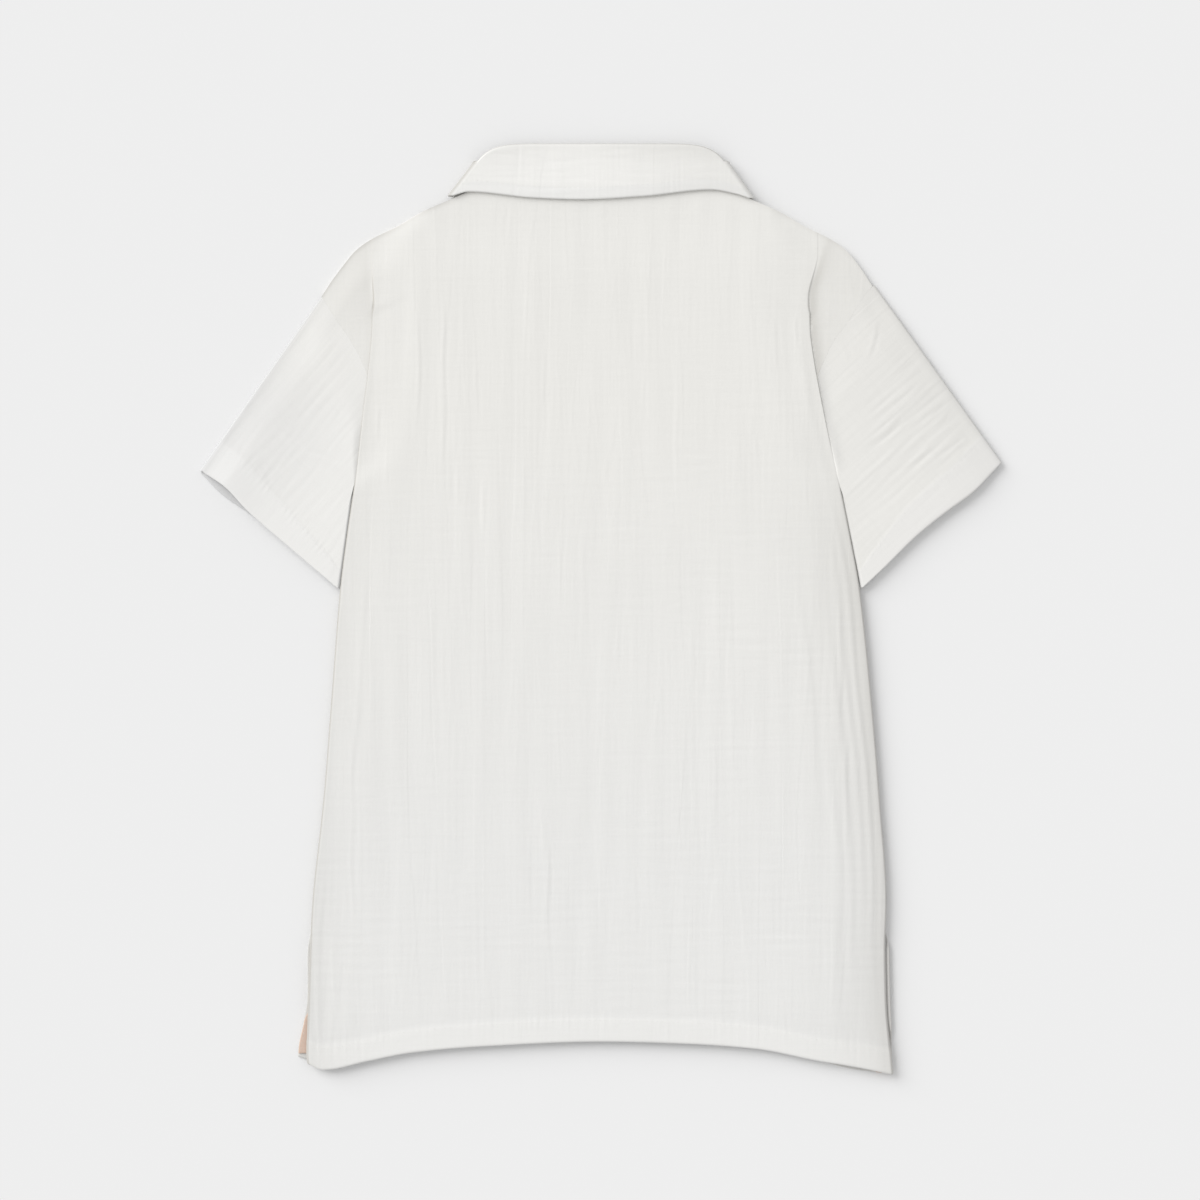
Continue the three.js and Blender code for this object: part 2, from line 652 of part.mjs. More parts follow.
/** The collar: leaf and stand in one folded band round the neck, open at the centre front. */
function collar() {
  const bandShares = (length) => [0, (LEAF_BAND - 1) / length, (LEAF_BAND + 1) / length, 0.66, 1];
  const half = COLLAR_WALL / 2;
  const columns = collarPlaces().map(({ fold, leaf, stand, out }) => {
    const up = fold.clone().sub(stand).normalize();
    const centre = fold.clone().addScaledVector(up, -half - COLLAR_FOLD_RADIUS);
    const points = [];
    bandShares(leaf.distanceTo(centre)).forEach((t, k) => {
      const plan = leaf.clone().lerp(centre, t);
      points.push({ plan, reach: LEAF_REACH, along: 0, away: 1, raise: k < 2 ? LEAF_BAND_RAISE : 0 });
    });
    for (const angle of [45, 90, 135]) {
      const [along, away] = [Math.sin(radians(angle)), Math.cos(radians(angle))];
      const plan = centre.clone().addScaledVector(up, COLLAR_FOLD_RADIUS * along);
      const reach = (LEAF_REACH + STAND_REACH) / 2 + COLLAR_FOLD_RADIUS * away;
      points.push({ plan, reach, along, away, raise: 0 });
    }
    for (const t of [0, 0.5, 1]) {
      points.push({ plan: centre.clone().lerp(stand, t), reach: STAND_REACH, along: 0, away: -1, raise: 0 });
    }
    return points.map((point) => ({ ...point, up, out, seam: stand }));
  });
  const at = ({ plan, reach, along, away, up, out, seam }, offset) => {
    const radial = reach + away * offset;
    const x = plan.x + up.x * along * offset + out[0] * radial;
    const y = plan.y + up.y * along * offset;
    const risen = THREE.MathUtils.clamp((plan.y - seam.y) / (COLLAR_FOLD_Y - NECK_Y), 0, 1);
    const droop = COLLAR_DROOP * risen * smooth((NECK_CORNER_X - Math.abs(x)) / 45) * Math.max(out[1], 0);
    return new THREE.Vector3(x, y, COLLAR_MID + out[1] * radial - droop);
  };
  const levels = columns[0].map((_, k) => columns.map((column) => column[k]));
  // The band near the leaf's edge is raised on the back only, where nothing lies on it.
  const raised = (point) => (point.out[1] > 0.9 ? point.raise : 0);
  const outer = levels.map((level) => level.map((point) => at(point, half + raised(point))));
  const inner = levels.map((level) => level.map((point) => at(point, -half)));
  return clothWall(outer, inner);
}

const wasm = await Module();
wasm.setup();

/** A closed geometry as a solid that can be cut. */
function solidOf(geometry) {
  const bare = geometry.clone();
  bare.deleteAttribute("normal");
  bare.deleteAttribute("uv");
  const merged = mergeVertices(bare, 1e-4);
  return new wasm.Manifold(
    new wasm.Mesh({
      numProp: 3,
      vertProperties: merged.getAttribute("position").array,
      triVerts: new Uint32Array(merged.getIndex().array),
    }),
  );
}

/** The first closed geometry with the second cut out of it. */
function cut(geometry, tool) {
  const mesh = solidOf(geometry).subtract(solidOf(tool)).getMesh();
  const made = new THREE.BufferGeometry();
  made.setAttribute("position", new THREE.BufferAttribute(mesh.vertProperties, 3));
  made.setIndex(new THREE.BufferAttribute(mesh.triVerts, 1));
  made.computeVertexNormals();
  return made;
}

const shirt = new THREE.Group();

/** Adds one named piece to the shirt. */
function add(name, geometry, look) {
  const mesh = new THREE.Mesh(geometry, new THREE.MeshStandardMaterial(look));
  mesh.name = name;
  shirt.add(mesh);
}

const slot = slab(strip(PLACKET_WIDTH / 2 + SEAM_GAP, PLACKET_BOTTOM - SEAM_GAP, NECK_Y), -1, 2 * BACK_MID);
add("back", backPanel(), CLOTH_LOOK);
add("front", cut(frontPanel(), slot), CLOTH_LOOK);
for (const side of SIDES) {
  add(`sleeve_${side.name}`, sleeve(side), CLOTH_LOOK);
  add(`vent_facing_${side.name}`, slab(facingShape(side), WALL + SEAM_GAP, FACING_WALL), FACING_LOOK);
}
add("collar", collar(), CLOTH_LOOK);
const placketShape = strip(PLACKET_WIDTH / 2, PLACKET_BOTTOM, PLACKET_TOP);
add("placket_top", slab(placketShape, COLLAR_LIFT, PLACKET_WALL), CLOTH_LOOK);
add("placket_under", slab(placketShape, COLLAR_LIFT + PLACKET_WALL + SEAM_GAP, PLACKET_WALL), CLOTH_LOOK);
BUTTON_YS.forEach((y, k) => {
  add(`button_${k + 1}`, slab(buttonShape(y), 0, BUTTON_DEPTH), BUTTON_LOOK);
});

export default shirt;
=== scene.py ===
"""A child's short-sleeved polo shirt in crinkled double gauze, laid flat and face down on a pale floor.

Sizes and tables are in millimetres in the shirt's own frame: +Y runs from the hem to the collar, +Z is up,
and the origin lies on the floor under the middle of the shirt. Meshes turn them into metres.
"""

import logging
import math
from dataclasses import dataclass, field, replace
from enum import Enum
from typing import Callable, NamedTuple, Sequence

import bpy
import numpy as np
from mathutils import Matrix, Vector
from mathutils.bvhtree import BVHTree


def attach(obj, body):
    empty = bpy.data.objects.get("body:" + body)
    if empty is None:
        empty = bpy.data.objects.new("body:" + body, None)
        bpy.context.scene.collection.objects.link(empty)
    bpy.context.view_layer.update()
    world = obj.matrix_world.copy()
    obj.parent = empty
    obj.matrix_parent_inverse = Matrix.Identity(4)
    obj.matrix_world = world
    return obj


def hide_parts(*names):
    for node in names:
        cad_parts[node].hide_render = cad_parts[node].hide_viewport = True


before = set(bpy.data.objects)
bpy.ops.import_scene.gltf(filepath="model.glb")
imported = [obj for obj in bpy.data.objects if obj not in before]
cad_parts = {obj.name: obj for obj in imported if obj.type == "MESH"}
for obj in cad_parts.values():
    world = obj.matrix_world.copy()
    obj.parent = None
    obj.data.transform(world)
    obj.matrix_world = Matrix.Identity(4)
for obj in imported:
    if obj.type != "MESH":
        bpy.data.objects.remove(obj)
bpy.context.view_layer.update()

logging.basicConfig(level=logging.INFO, format="%(message)s")
log = logging.getLogger("polo_shirt")

MM = 0.001
MM_IN_A_METRE = 1000.0
BODY = "root"
DOUBLED = "doubled_cloth"
SHARP_ANGLE = 50.0
SEARCH_LOW, SEARCH_HIGH, HALVINGS = -290.0, 210.0, 40
# Mask of painted shade: it darkens the base colour for shadow in folds and beside edges, and on turned edges that
# face the light.
PAINTED_SHADE = "painted_shade_mask"

Array = np.ndarray
Arrays = dict[str, Array]
Curve = Callable[[Array], Array]
Faces = list[tuple[int, ...]]
Triple = tuple[float, float, float]
Piece = bpy.types.Object
Material = bpy.types.Material
Tree = bpy.types.NodeTree
Socket = bpy.types.NodeSocket


class Side(Enum):
    """A side of the shirt as it lies; the value is the sign of its X."""

    LEFT = -1
    RIGHT = 1

    @property
    def word(self) -> str:
        """The side's word in names and tables."""
        return self.name.lower()


class EdgeRow(NamedTuple):
    """A row of an outline: distances from the centre line at one height up the shirt."""

    y: float
    left: float
    right: float


class TopRow(NamedTuple):
    """A row of the top edge: its height at one distance from the centre line."""

    x: float
    left: float
    right: float


class LineRow(NamedTuple):
    """A point of a line across the shirt."""

    x: float
    y: float


class FoldRow(NamedTuple):
    """How far the back's edge turns down and back out, in degrees, and the heights of its crest and its end."""

    y: float
    down: float
    back: float
    crest: float
    end: float


class Crease(NamedTuple):
    """A crease along the shirt: where it lies, its depth (below zero for a lit ridge) and its half width."""

    x: float
    y_top: float
    y_bottom: float
    depth: float
    width: float


class EdgeFold(NamedTuple):
    """A long fold that follows one side edge at a distance inside it."""

    side: Side
    inset: float
    y_top: float
    y_bottom: float
    depth: float
    width: float


class Puff(NamedTuple):
    """How high the cloth lies at an armhole's fold and what share of that it loses further out."""

    height: float
    settles: float


def table(kind: Callable[..., NamedTuple], *rows: tuple) -> tuple:
    """Makes a table whose rows are all of one kind.

    Args:
        kind: The kind of row.
        rows: The values of each row.

    Returns:
        The rows.
    """
    return tuple(kind(*row) for row in rows)


WALL = 1.2
SEAM_GAP = 0.3
LOWER_MID = WALL / 2
UPPER_MID = LOWER_MID + WALL + SEAM_GAP
BACK_MID = 4.4
COLLAR_LIFT = 1.8
NECK_CORNER_X = 75.0
NECK_Y = 252.0
HEM_DEPTH = 14.5
CUFF_DEPTH = 17.5
SEWN_INSIDE = 1.6

BACK_EDGE = table(
    EdgeRow,
    (224, 138.5, 135), (205, 138.2, 129.5), (186, 137.3, 125.2), (168, 137.7, 125.6), (150, 139.2, 127.8),
    (116, 143.2, 134.2), (80, 147.2, 142), (43, 152.4, 149.4), (13, 156.2, 154.8), (-54, 161.5, 162),
    (-114, 166.3, 167), (-174, 172.8, 171), (-204, 174.4, 170.3), (-236, 175.4, 170.9),
    (-266, 176.2, 173.6), (-280, 174, 175),
)
BACK_SEAM_BEYOND = table(
    EdgeRow,
    (200, 38, 41), (187.5, 30.1, 32), (173, 20.6, 23), (161, 11.8, 13.5), (148, 3.7, 5), (136, -1.5, -1),
    (116, -3.9, -4.2), (84, -3.6, -4),
)
FRONT_BEYOND = table(
    EdgeRow,
    (-275, 6, 0.4), (-263, 5.4, 1), (-247, 2.6, 2.4), (-232, 0.8, 2.6), (-204, 1.5, 2.5),
    (-190, -0.2, -0.2), (78, -0.2, -0.2), (84, 1.5, 1.5), (90, 2.6, 2.6), (120, 6.7, 6.7),
    (145, 13.4, 13.4), (168, 22.3, 22.3), (187.5, 29.7, 31.5), (200, 37, 40),
)
SHOULDER = table(
    TopRow,
    (NECK_CORNER_X, NECK_Y, NECK_Y), (93.6, 243.9, 243.9), (107.4, 237.9, 237.9), (122, 229.5, 229.5),
    (138, 221.5, 221.5), (147, 215, 215), (154.5, 206, 206), (162, 195.9, 194.7), (167.4, 187.5, 187),
)
BACK_HEM = table(
    LineRow,
    (-176, -272), (-166, -275.7), (-139, -270.3), (-113, -265.3), (-73, -261.7), (0, -258.7), (53, -260.1),
    (93, -263.1), (129, -270.1), (155, -274.5), (175, -278.7),
)
FRONT_HEM = table(
    LineRow,
    (-182, -268), (-166, -272), (-139, -268), (-73, -259.2), (0, -256.2), (73, -258.8), (113, -264.5),
    (129, -269.8), (150, -275.4), (168, -277.9),
)
FOLD_ROWS = table(
    FoldRow,
    (226, 0, 0, 2.3, UPPER_MID), (208, 6, 6, 2.6, UPPER_MID), (196, 26, 26, 2.8, UPPER_MID),
    (184, 60, 60, 2.95, UPPER_MID), (170, 176, 176, 3.25, UPPER_MID), (92, 176, 176, 3.7, UPPER_MID),
    (66, 90, 0, 4.5, 1.55), (-188, 90, 0, 4.5, 1.55), (-202, 50, 0, 4.4, 3.4),
)
LIFTED_HALF = table(
    LineRow,
    (-18, 30), (15, 44), (16, 116), (62, 132), (80, 190), (106, 250),
)
CREASES = table(
    Crease,
    (-108.6, 186, 105, 0.112, 0.81), (-93.3, 195, 78, 0.139, 0.87), (-73.8, 149, 114, 0.079, 0.74),
    (-132.6, 123, 99, 0.099, 0.81), (-33.6, 159, 111, 0.073, 0.74), (-31.2, -126, -220, 0.139, 0.81),
    (105, 176, 141, 0.099, 0.74), (117.6, 177, 156, 0.086, 0.74), (93.6, 105, 92, 0.079, 0.74),
    (144, 8, -72, 0.149, 0.99), (147.6, -70, -152, 0.132, 0.93), (69, -61, -154, 0.086, 0.74),
    (21.6, -153, -199, 0.073, 0.74), (-71.4, 81, 43, -0.099, 0.87), (-87, 84, 60, -0.079, 0.81),
    (-148, -60, -190, 0.086, 0.93), (-12, 60, -40, -0.066, 0.87), (44, 150, 60, -0.066, 0.81),
)
EDGE_FOLDS = table(
    EdgeFold,
    (Side.RIGHT, 5.5, 190, 60, 0.1, 2.6), (Side.RIGHT, 6.5, 95, -262, 0.18, 1.44),
    (Side.RIGHT, 12.5, 60, -200, 0.135, 1.61), (Side.RIGHT, 19, 20, -250, 0.12, 1.87),
    (Side.RIGHT, 35, 40, -150, 0.07, 2.2), (Side.RIGHT, 27, -60, -240, 0.084, 2.04),
    (Side.LEFT, 7, -160, -272, 0.105, 1.53), (Side.LEFT, 13, -180, -270, -0.075, 1.87),
    (Side.LEFT, 17, 40, -120, 0.06, 1.53),
)

PUFFS = {Side.LEFT: Puff(1.25, 0.2), Side.RIGHT: Puff(1.35, 0.0)}
TAIL_PLACES = (1.5, 3.0, 4.5, 6.0)
LEAF_BACK = table(
    LineRow,
    (-92.2, 247.5), (-82, 249.9), (-42.6, 246.3), (-12.6, 245.3), (26.4, 247.2), (68.4, 251.1),
    (83.4, 248.7), (92.2, 246),
)
COLLAR_POINT = (48, 150)
COLLAR_FOLD_Y = 279
FRONT_NECK_DEPTH = 66
FRONT_NECK_END_X = 6
PLACKET_WIDTH = 24
PLACKET_BOTTOM = 58
PLACKET_TOP = 185.7
PLACKET_WALL = 1.0
BUTTON_YS = (174, 132, 90)
UNDERARM_Y = 78
FACING_WIDTH = 8
FACING_BOTTOM = -266
FACING_TOP = -208


class Bend(NamedTuple):
    """A bend or lift of a cuff about one share of its width."""

    at: float
    width: float
    out: float


class SleeveCut(NamedTuple):
    """A sleeve as it lies: its cuff's corners, bends and lift, the tip of its shoulder seam and its relief."""

    cuff_outer: tuple[float, float]
    cuff_inner: tuple[float, float]
    tip_y: float
    upper_bends: tuple[Bend, ...]
    lower_bends: tuple[Bend, ...]
    lift: Bend
    outer_lift: float
    band_step: float
    creased: float


class SleevePaintedShade(NamedTuple):
    """How much painted shade darkens a sleeve: on its turns, at its outer fold, on its outer part, all over and at
    its rim.
    """

    turned: float
    fold: float
    outer: float
    all_over: float
    rim: float


SLEEVE_PAINTED_SHADES = {
    Side.LEFT: SleevePaintedShade(1.2, 0.15, 0.42, 0.0, 0.18),
    Side.RIGHT: SleevePaintedShade(0.5, 0.3, 0.2, 0.2, 0.05),
}
SLEEVE_CUTS = {
    Side.LEFT: SleeveCut(
        (240.6, 83.1),
        (156.5, 12.6),
        187.5,
        (Bend(0.16, 0.13, -2.4),),
        (Bend(0.16, 0.15, 2.2),),
        Bend(0.2, 0.16, 0.7),
        outer_lift=0.0,
        band_step=0.22,
        creased=0.02,
    ),
    Side.RIGHT: SleeveCut(
        (240.2, 87.9),
        (155.6, 12.9),
        194.7,
        (Bend(0.2, 0.14, 1.7), Bend(0.6, 0.2, -1.5)),
        (Bend(0.2, 0.14, 1.9), Bend(0.6, 0.2, -1.3)),
        Bend(0.5, 0.3, 0.3),
        outer_lift=1.0,
        band_step=0.13,
        creased=0.042,
    ),
}


class Furrow(NamedTuple):
    """A crease across a sleeve, from one point to another, with its depth and half width."""

    x1: float
    y1: float
    x2: float
    y2: float
    depth: float
    width: float


FURROWS = {
    Side.LEFT: table(
        Furrow,
        (-191, 105, -180, 96, 0.12, 1.12), (-179, 95, -153, 83, 0.18, 1.28),
        (-208, 90, -196, 68, 0.12, 1.28), (-160, 189, -152, 179, 0.12, 1.12),
        (-170, 128, -152, 112, 0.1, 1.28), (-196, 130, -176, 112, 0.08, 1.44),
    ),
    Side.RIGHT: table(
        Furrow,
        (182.5, 118.5, 155, 95.7, 0.24, 1.44), (162, 193, 141, 164.7, -0.14, 1.28),
        (140.5, 163, 150, 146.7, 0.2, 1.04), (166, 175, 158.5, 147, 0.2, 1.2),
        (206.5, 126, 194.5, 115, 0.16, 0.96), (210.6, 121, 197.5, 107.7, 0.16, 0.96),
        (218.5, 106.5, 200.5, 92.7, 0.16, 0.96), (221.5, 101.7, 209.5, 95.7, 0.14, 0.88),
        (200, 100, 176, 82, 0.14, 1.2), (190, 138, 172, 122, 0.12, 1.12), (226, 92, 208, 78, 0.12, 1.04),
    ),
}


def smooth(t: Array) -> Array:
    """Eases from 0 to 1 as t does."""
    t = np.clip(t, 0.0, 1.0)
    return t * t * (3.0 - 2.0 * t)


def bump(t: Array) -> Array:
    """A bell of height 1 about t = 0."""
    return np.exp(-np.square(t))


def mix(a: Array, b: Array, t: Array) -> Array:
    """Goes from a to b as t goes from 0 to 1."""
    return a + (b - a) * t


def table_curve(rows: Sequence[NamedTuple], at: str, value: str) -> Curve:
    """Makes a curve through one column of a table that never overshoots its rows.

    Args:
        rows: The table.
        at: The column that the curve is read at.
        value: The column that it gives.

    Returns:
        A function of an array, flat past the table's ends.
    """
    ordered = sorted(rows, key=lambda row: getattr(row, at))
    places = np.array([getattr(row, at) for row in ordered], float)
    values = np.array([getattr(row, value) for row in ordered], float)
    grades = np.diff(values) / np.diff(places)
    slopes = np.concatenate([grades[:1], np.zeros(len(places) - 2), grades[-1:]])
    both = grades[:-1] * grades[1:]
    level = both <= 0
    total = np.where(level, 1.0, grades[:-1] + grades[1:])
    slopes[1:-1] = np.where(level, 0.0, 2.0 * both / total)

    def read(place: Array) -> Array:
        """Reads the curve at each place."""
        place = np.clip(np.asarray(place, float), places[0], places[-1])
        k = np.clip(np.searchsorted(places, place, side="right") - 1, 0, len(places) - 2)
        width = places[k + 1] - places[k]
        t = (place - places[k]) / width
        start = width * slopes[k] * t * (1 - t) ** 2
        end = width * slopes[k + 1] * t * t * (t - 1)
        return mix(values[k], values[k + 1], smooth(t)) + start + end

    return read


class Pattern:
    """The shirt's outline as it lies: edges, seams, hems and top edges as curves."""

    def __init__(self) -> None:
        """Reads the tables into curves for both sides."""
        self.back_edge: dict[Side, Curve] = {}
        self.back_seam: dict[Side, Curve] = {}
        self.front_edge: dict[Side, Curve] = {}
        self.shoulder: dict[Side, Curve] = {}
        for side in Side:
            edge = table_curve(BACK_EDGE, "y", side.word)
            self.back_edge[side] = edge
            self.back_seam[side] = self._beyond(edge, table_curve(BACK_SEAM_BEYOND, "y", side.word))
            self.front_edge[side] = self._beyond(edge, table_curve(FRONT_BEYOND, "y", side.word))
            self.shoulder[side] = table_curve(SHOULDER, "x", side.word)
        self.back_hem = table_curve(BACK_HEM, "x", "y")
        self.front_hem = table_curve(FRONT_HEM, "x", "y")
        self._lifted_half = table_curve(LIFTED_HALF, "y", "x")

    @staticmethod
    def _beyond(edge: Curve, beyond: Curve) -> Curve:
        """A curve that lies a given distance outside another."""
        return lambda y: edge(y) + beyond(y)

    def back_top(self, x: Array) -> Array:
        """Top edge of the back: the neck seam, then the shoulder line."""
        left = self.shoulder[Side.LEFT](np.abs(x))
        right = self.shoulder[Side.RIGHT](np.abs(x))
        return np.where(x < 0, left, right)

    def front_top(self, x: Array) -> Array:
        """Top edge of the front: the scooped neck, then the shoulder line."""
        along = np.clip((np.abs(x) - FRONT_NECK_END_X) / (NECK_CORNER_X - FRONT_NECK_END_X), 0, 1)
        scoop = NECK_Y - FRONT_NECK_DEPTH * np.sqrt(1 - along * along)
        return np.where(along >= 1, self.back_top(x), scoop)

    def raised(self, side: Side, x: Array, y: Array) -> Array:
        """How far the cloth at an armhole's fold and outside it puffs up."""
        puff, slope = PUFFS[side], 1.42
        across = np.abs(x)
        tip = SHOULDER[-1]
        top = self.shoulder[side](across) - slope * np.maximum(across - tip.x, 0)
        zone = smooth((top - y) / 26) * smooth((y - UNDERARM_Y) / 60)
        beyond = across - self.back_edge[side](y)
        return puff.height * zone * (1 - puff.settles * smooth(beyond / 25))

    def lift_share(self, x: Array, y: Array) -> Array:
        """Share of the full lift of the front over the collar leaf and the placket."""
        slope = 16.0
        return 1 - smooth((np.abs(x) - self._lifted_half(y)) / slope)


def meet(
    row_y: Callable[[Array, Array, Array], Array], share: Array, offset: Array, side: Side, edge: Curve
) -> Array:
    """Where the rows of a panel cross an edge curve of one side, found by halving.

    Args:
        row_y: Gives the height of a row at x from its share, its offset and x.
        share: Shares of the rows.
        offset: Offsets of the rows.
        side: The side of the shirt.
        edge: The edge curve.

    Returns:
        The height of each crossing.
    """
    low, high = np.full(share.shape, SEARCH_LOW), np.full(share.shape, SEARCH_HIGH)
    for _ in range(HALVINGS):
        middle = (low + high) / 2
        above = row_y(share, offset, side.value * edge(middle)) > middle
        low, high = np.where(above, middle, low), np.where(above, high, middle)
    return low


class Relief:
    """A seeded field of crinkle heights of unit spread, long one way and narrow the other."""

    STEP_X = 0.5
    STEP_Y = 0.75
    COUNT = 1024

    def __init__(self, seed: int, across: float, along: float, band: float = 0.55) -> None:
        """Filters white noise to a band of widths.

        Args:
            seed: Seed of the noise.
            across: Middle width of a crinkle, along X, in millimetres.
            along: Usual length of a crinkle, along Y, in millimetres.
            band: How widely the widths spread, as a natural logarithm.
        """
        rng = np.random.default_rng(seed)
        noise = np.fft.fft2(rng.standard_normal((self.COUNT, self.COUNT)))
        fy = np.abs(np.fft.fftfreq(self.COUNT, self.STEP_Y))[:, None]
        fx = np.abs(np.fft.fftfreq(self.COUNT, self.STEP_X))[None, :]
        width = np.exp(-np.square(np.log(np.maximum(fx, 1e-6) * across) / band))
        length = np.exp(-np.square(fy * along))
        field_values = np.real(np.fft.ifft2(noise * width * length))
        self.values = (field_values - field_values.mean()) / field_values.std()

    def at(self, x: Array, y: Array) -> Array:
        """The height at points, by blending the four nearest samples."""
        u = (np.asarray(x) / self.STEP_X) % self.COUNT
        v = (np.asarray(y) / self.STEP_Y) % self.COUNT
        j, i = np.floor(u).astype(int) % self.COUNT, np.floor(v).astype(int) % self.COUNT
        s, t = u - np.floor(u), v - np.floor(v)
        j1, i1 = (j + 1) % self.COUNT, (i + 1) % self.COUNT
        low = mix(self.values[i, j], self.values[i, j1], s)
        high = mix(self.values[i1, j], self.values[i1, j1], s)
        return mix(low, high, t)


def crease_profile(distance: Array, width: float) -> Array:
    """Height across a crease of depth 1: a low ridge, then a groove, with a steep step between."""
    t = distance / width
    return -t * np.exp(0.5 - 0.5 * t * t)


def ends(y: Array, top: float, bottom: float) -> Array:
    """Fades a crease in and out over its two ends."""
    fade = 0.3 * (top - bottom)
    return smooth((top - y) / fade) * smooth((y - bottom) / fade)


def turned_out(points: Array, faces: Faces) -> Faces:
    """Faces of a closed mesh, reversed where they would point in."""
    total = 0.0
    by_size: dict[int, Faces] = {}
    for face in faces:
        by_size.setdefault(len(face), []).append(face)
    for size, group in by_size.items():
        corners = points[np.array(group)]
        for k in range(1, size - 1):
            a, b, c = corners[:, 0], corners[:, k], corners[:, k + 1]
            total += float(np.einsum("ij,ij->", a, np.cross(b, c)))
    return faces if total > 0 else [face[::-1] for face in faces]


def metre_mesh(name: str, points: Array, faces: Faces, masks: Arrays | None = None) -> Piece:
    """Makes a smooth-shaded mesh object from points in millimetres.

    Args:
        name: Name of the piece.
        points: Vertices, one a row.
        faces: Vertex indices of each face.
        masks: Values of each vertex that the finish reads, by attribute name.

    Returns:
        The object, linked to the scene.
    """
    used = np.zeros(len(points), bool)
    for size in {len(face) for face in faces}:
        used[np.array([face for face in faces if len(face) == size]).ravel()] = True
    renumbered = (np.cumsum(used) - 1).tolist()
    mesh = bpy.data.meshes.new(name)
    kept_faces = [tuple(renumbered[k] for k in face) for face in faces]
    mesh.from_pydata((points[used] * MM).tolist(), [], turned_out(points[used], kept_faces))
    mesh.polygons.foreach_set("use_smooth", np.ones(len(mesh.polygons), bool))
    mesh.set_sharp_from_angle(angle=math.radians(SHARP_ANGLE))
    for key, values in (masks or {}).items():
        layer = mesh.attributes.new(key, "FLOAT", "POINT")
        layer.data.foreach_set("value", values[used].astype(np.float32))
    mesh.update()
    made = bpy.data.objects.new(name, mesh)
    bpy.context.scene.collection.objects.link(made)
    return made


def grid_quads(rows: Array, columns: Array, width: int, loop: bool = False) -> Array:
    """Quads between the given rows and columns of a grid whose rows hold width points."""
    across = np.append(columns, columns[0]) if loop else columns
    a = rows[:-1, None] * width + across[None, :-1]
    b = rows[:-1, None] * width + across[None, 1:]
    c = rows[1:, None] * width + across[None, 1:]
    d = rows[1:, None] * width + across[None, :-1]
    return np.stack([a, b, c, d], axis=-1).reshape(-1, 4)


def as_faces(quads: Array) -> Faces:
    """Rows of vertex indices as a list of faces."""
    return [tuple(face) for face in quads.tolist()]


def rim_faces(line: Array, kept: Array, under: int, forward: bool) -> Faces:
    """Faces that close one edge of a shell, from every outer point to the inner points that are kept."""
    faces = []
    for start, stop in zip(kept[:-1], kept[1:]):
        face = (*line[start : stop + 1], line[stop] + under, line[start] + under)
        faces.append(tuple(int(k) for k in (face[::-1] if forward else face)))
    return faces


def darkened(value: Array) -> Array:
    """A mask from 0 to 1 of painted shade for the finish, from how much darker the cloth is painted."""
    return np.clip(value / 2, 0, 1)


def doubled_by(depth: float, distance: Array) -> Array:
    """Share of doubled cloth at a distance inside an edge whose sewn band is so deep."""
    return smooth((depth - distance) / 0.8 + 0.5)


def both_faces(masks: Arrays) -> Arrays:
    """Masks of a grid repeated for the outer and the inner face of a wall."""
    return {key: np.tile(values.reshape(-1), 2) for key, values in masks.items()}


def closed_cloth(
    name: str,
    outer: Array,
    inner: Array,
    masks: Arrays | None = None,
    loop: bool = False,
    gaps: Array | None = None,
    kept: tuple[Array, Array] | None = None,
) -> Piece:
    """Makes a closed wall of cloth between two grids of points.

    Args:
        name: Name of the piece.
        outer: Points of the outer face, rows by columns by 3.
        inner: Points of the inner face, on the same grid.
        masks: Values that the finish reads, rows by columns, by attribute name.
        loop: Whether the last column joins the first.
        gaps: Cells of the grid that are left open.
        kept: The only inner rows and columns that are used, each with its first and last one, or None for all.

    Returns:
        The wall as a mesh object.
    """
    rows, columns = outer.shape[:2]
    under = rows * columns
    quads = grid_quads(np.arange(rows), np.arange(columns), columns, loop)
    points = np.concatenate([outer.reshape(-1, 3), inner.reshape(-1, 3)])
    if kept is not None:
        faces = as_faces(quads) + as_faces(grid_quads(*kept, columns)[:, ::-1] + under)
        across, up = np.arange(columns), np.arange(rows) * columns
        faces += rim_faces(across, kept[1], under, True)
        faces += rim_faces((rows - 1) * columns + across, kept[1], under, False)
        faces += rim_faces(up, kept[0], under, False)
        faces += rim_faces(up + columns - 1, kept[0], under, True)
        return metre_mesh(name, points, faces, both_faces(masks or {}))
    if gaps is not None:
        quads = quads[~gaps.reshape(-1)]
    sides = np.concatenate([quads[:, [k, (k + 1) % 4]] for k in range(4)])
    there, back = sides[:, 0] * under + sides[:, 1], sides[:, 1] * under + sides[:, 0]
    edge = sides[~np.isin(there, back)]
    rim = np.stack([edge[:, 1], edge[:, 0], edge[:, 0] + under, edge[:, 1] + under], axis=-1)
    faces = as_faces(np.concatenate([quads, quads[:, ::-1] + under, rim]))
    return metre_mesh(name, points, faces, both_faces(masks or {}))


def every(count: int, step: int, also: Sequence[int] = ()) -> Array:
    """Indices from 0 to count - 1 at a step, with the last one and any others asked for."""
    return np.unique([*range(0, count, step), count - 1, *also])


def rounded_half(distance: Array, half: float) -> Array:
    """Half the thickness near a folded edge: round where the cloth ends, full from its radius inwards."""
    t = np.clip(distance / (1.3 * half), 0.0, 1.0)
    return half * np.maximum(np.sqrt(1 - np.square(1 - t)), 0.04)


ROUND_EDGE = (0.0, 0.06, 0.2, 0.42, 0.7, 1.0)


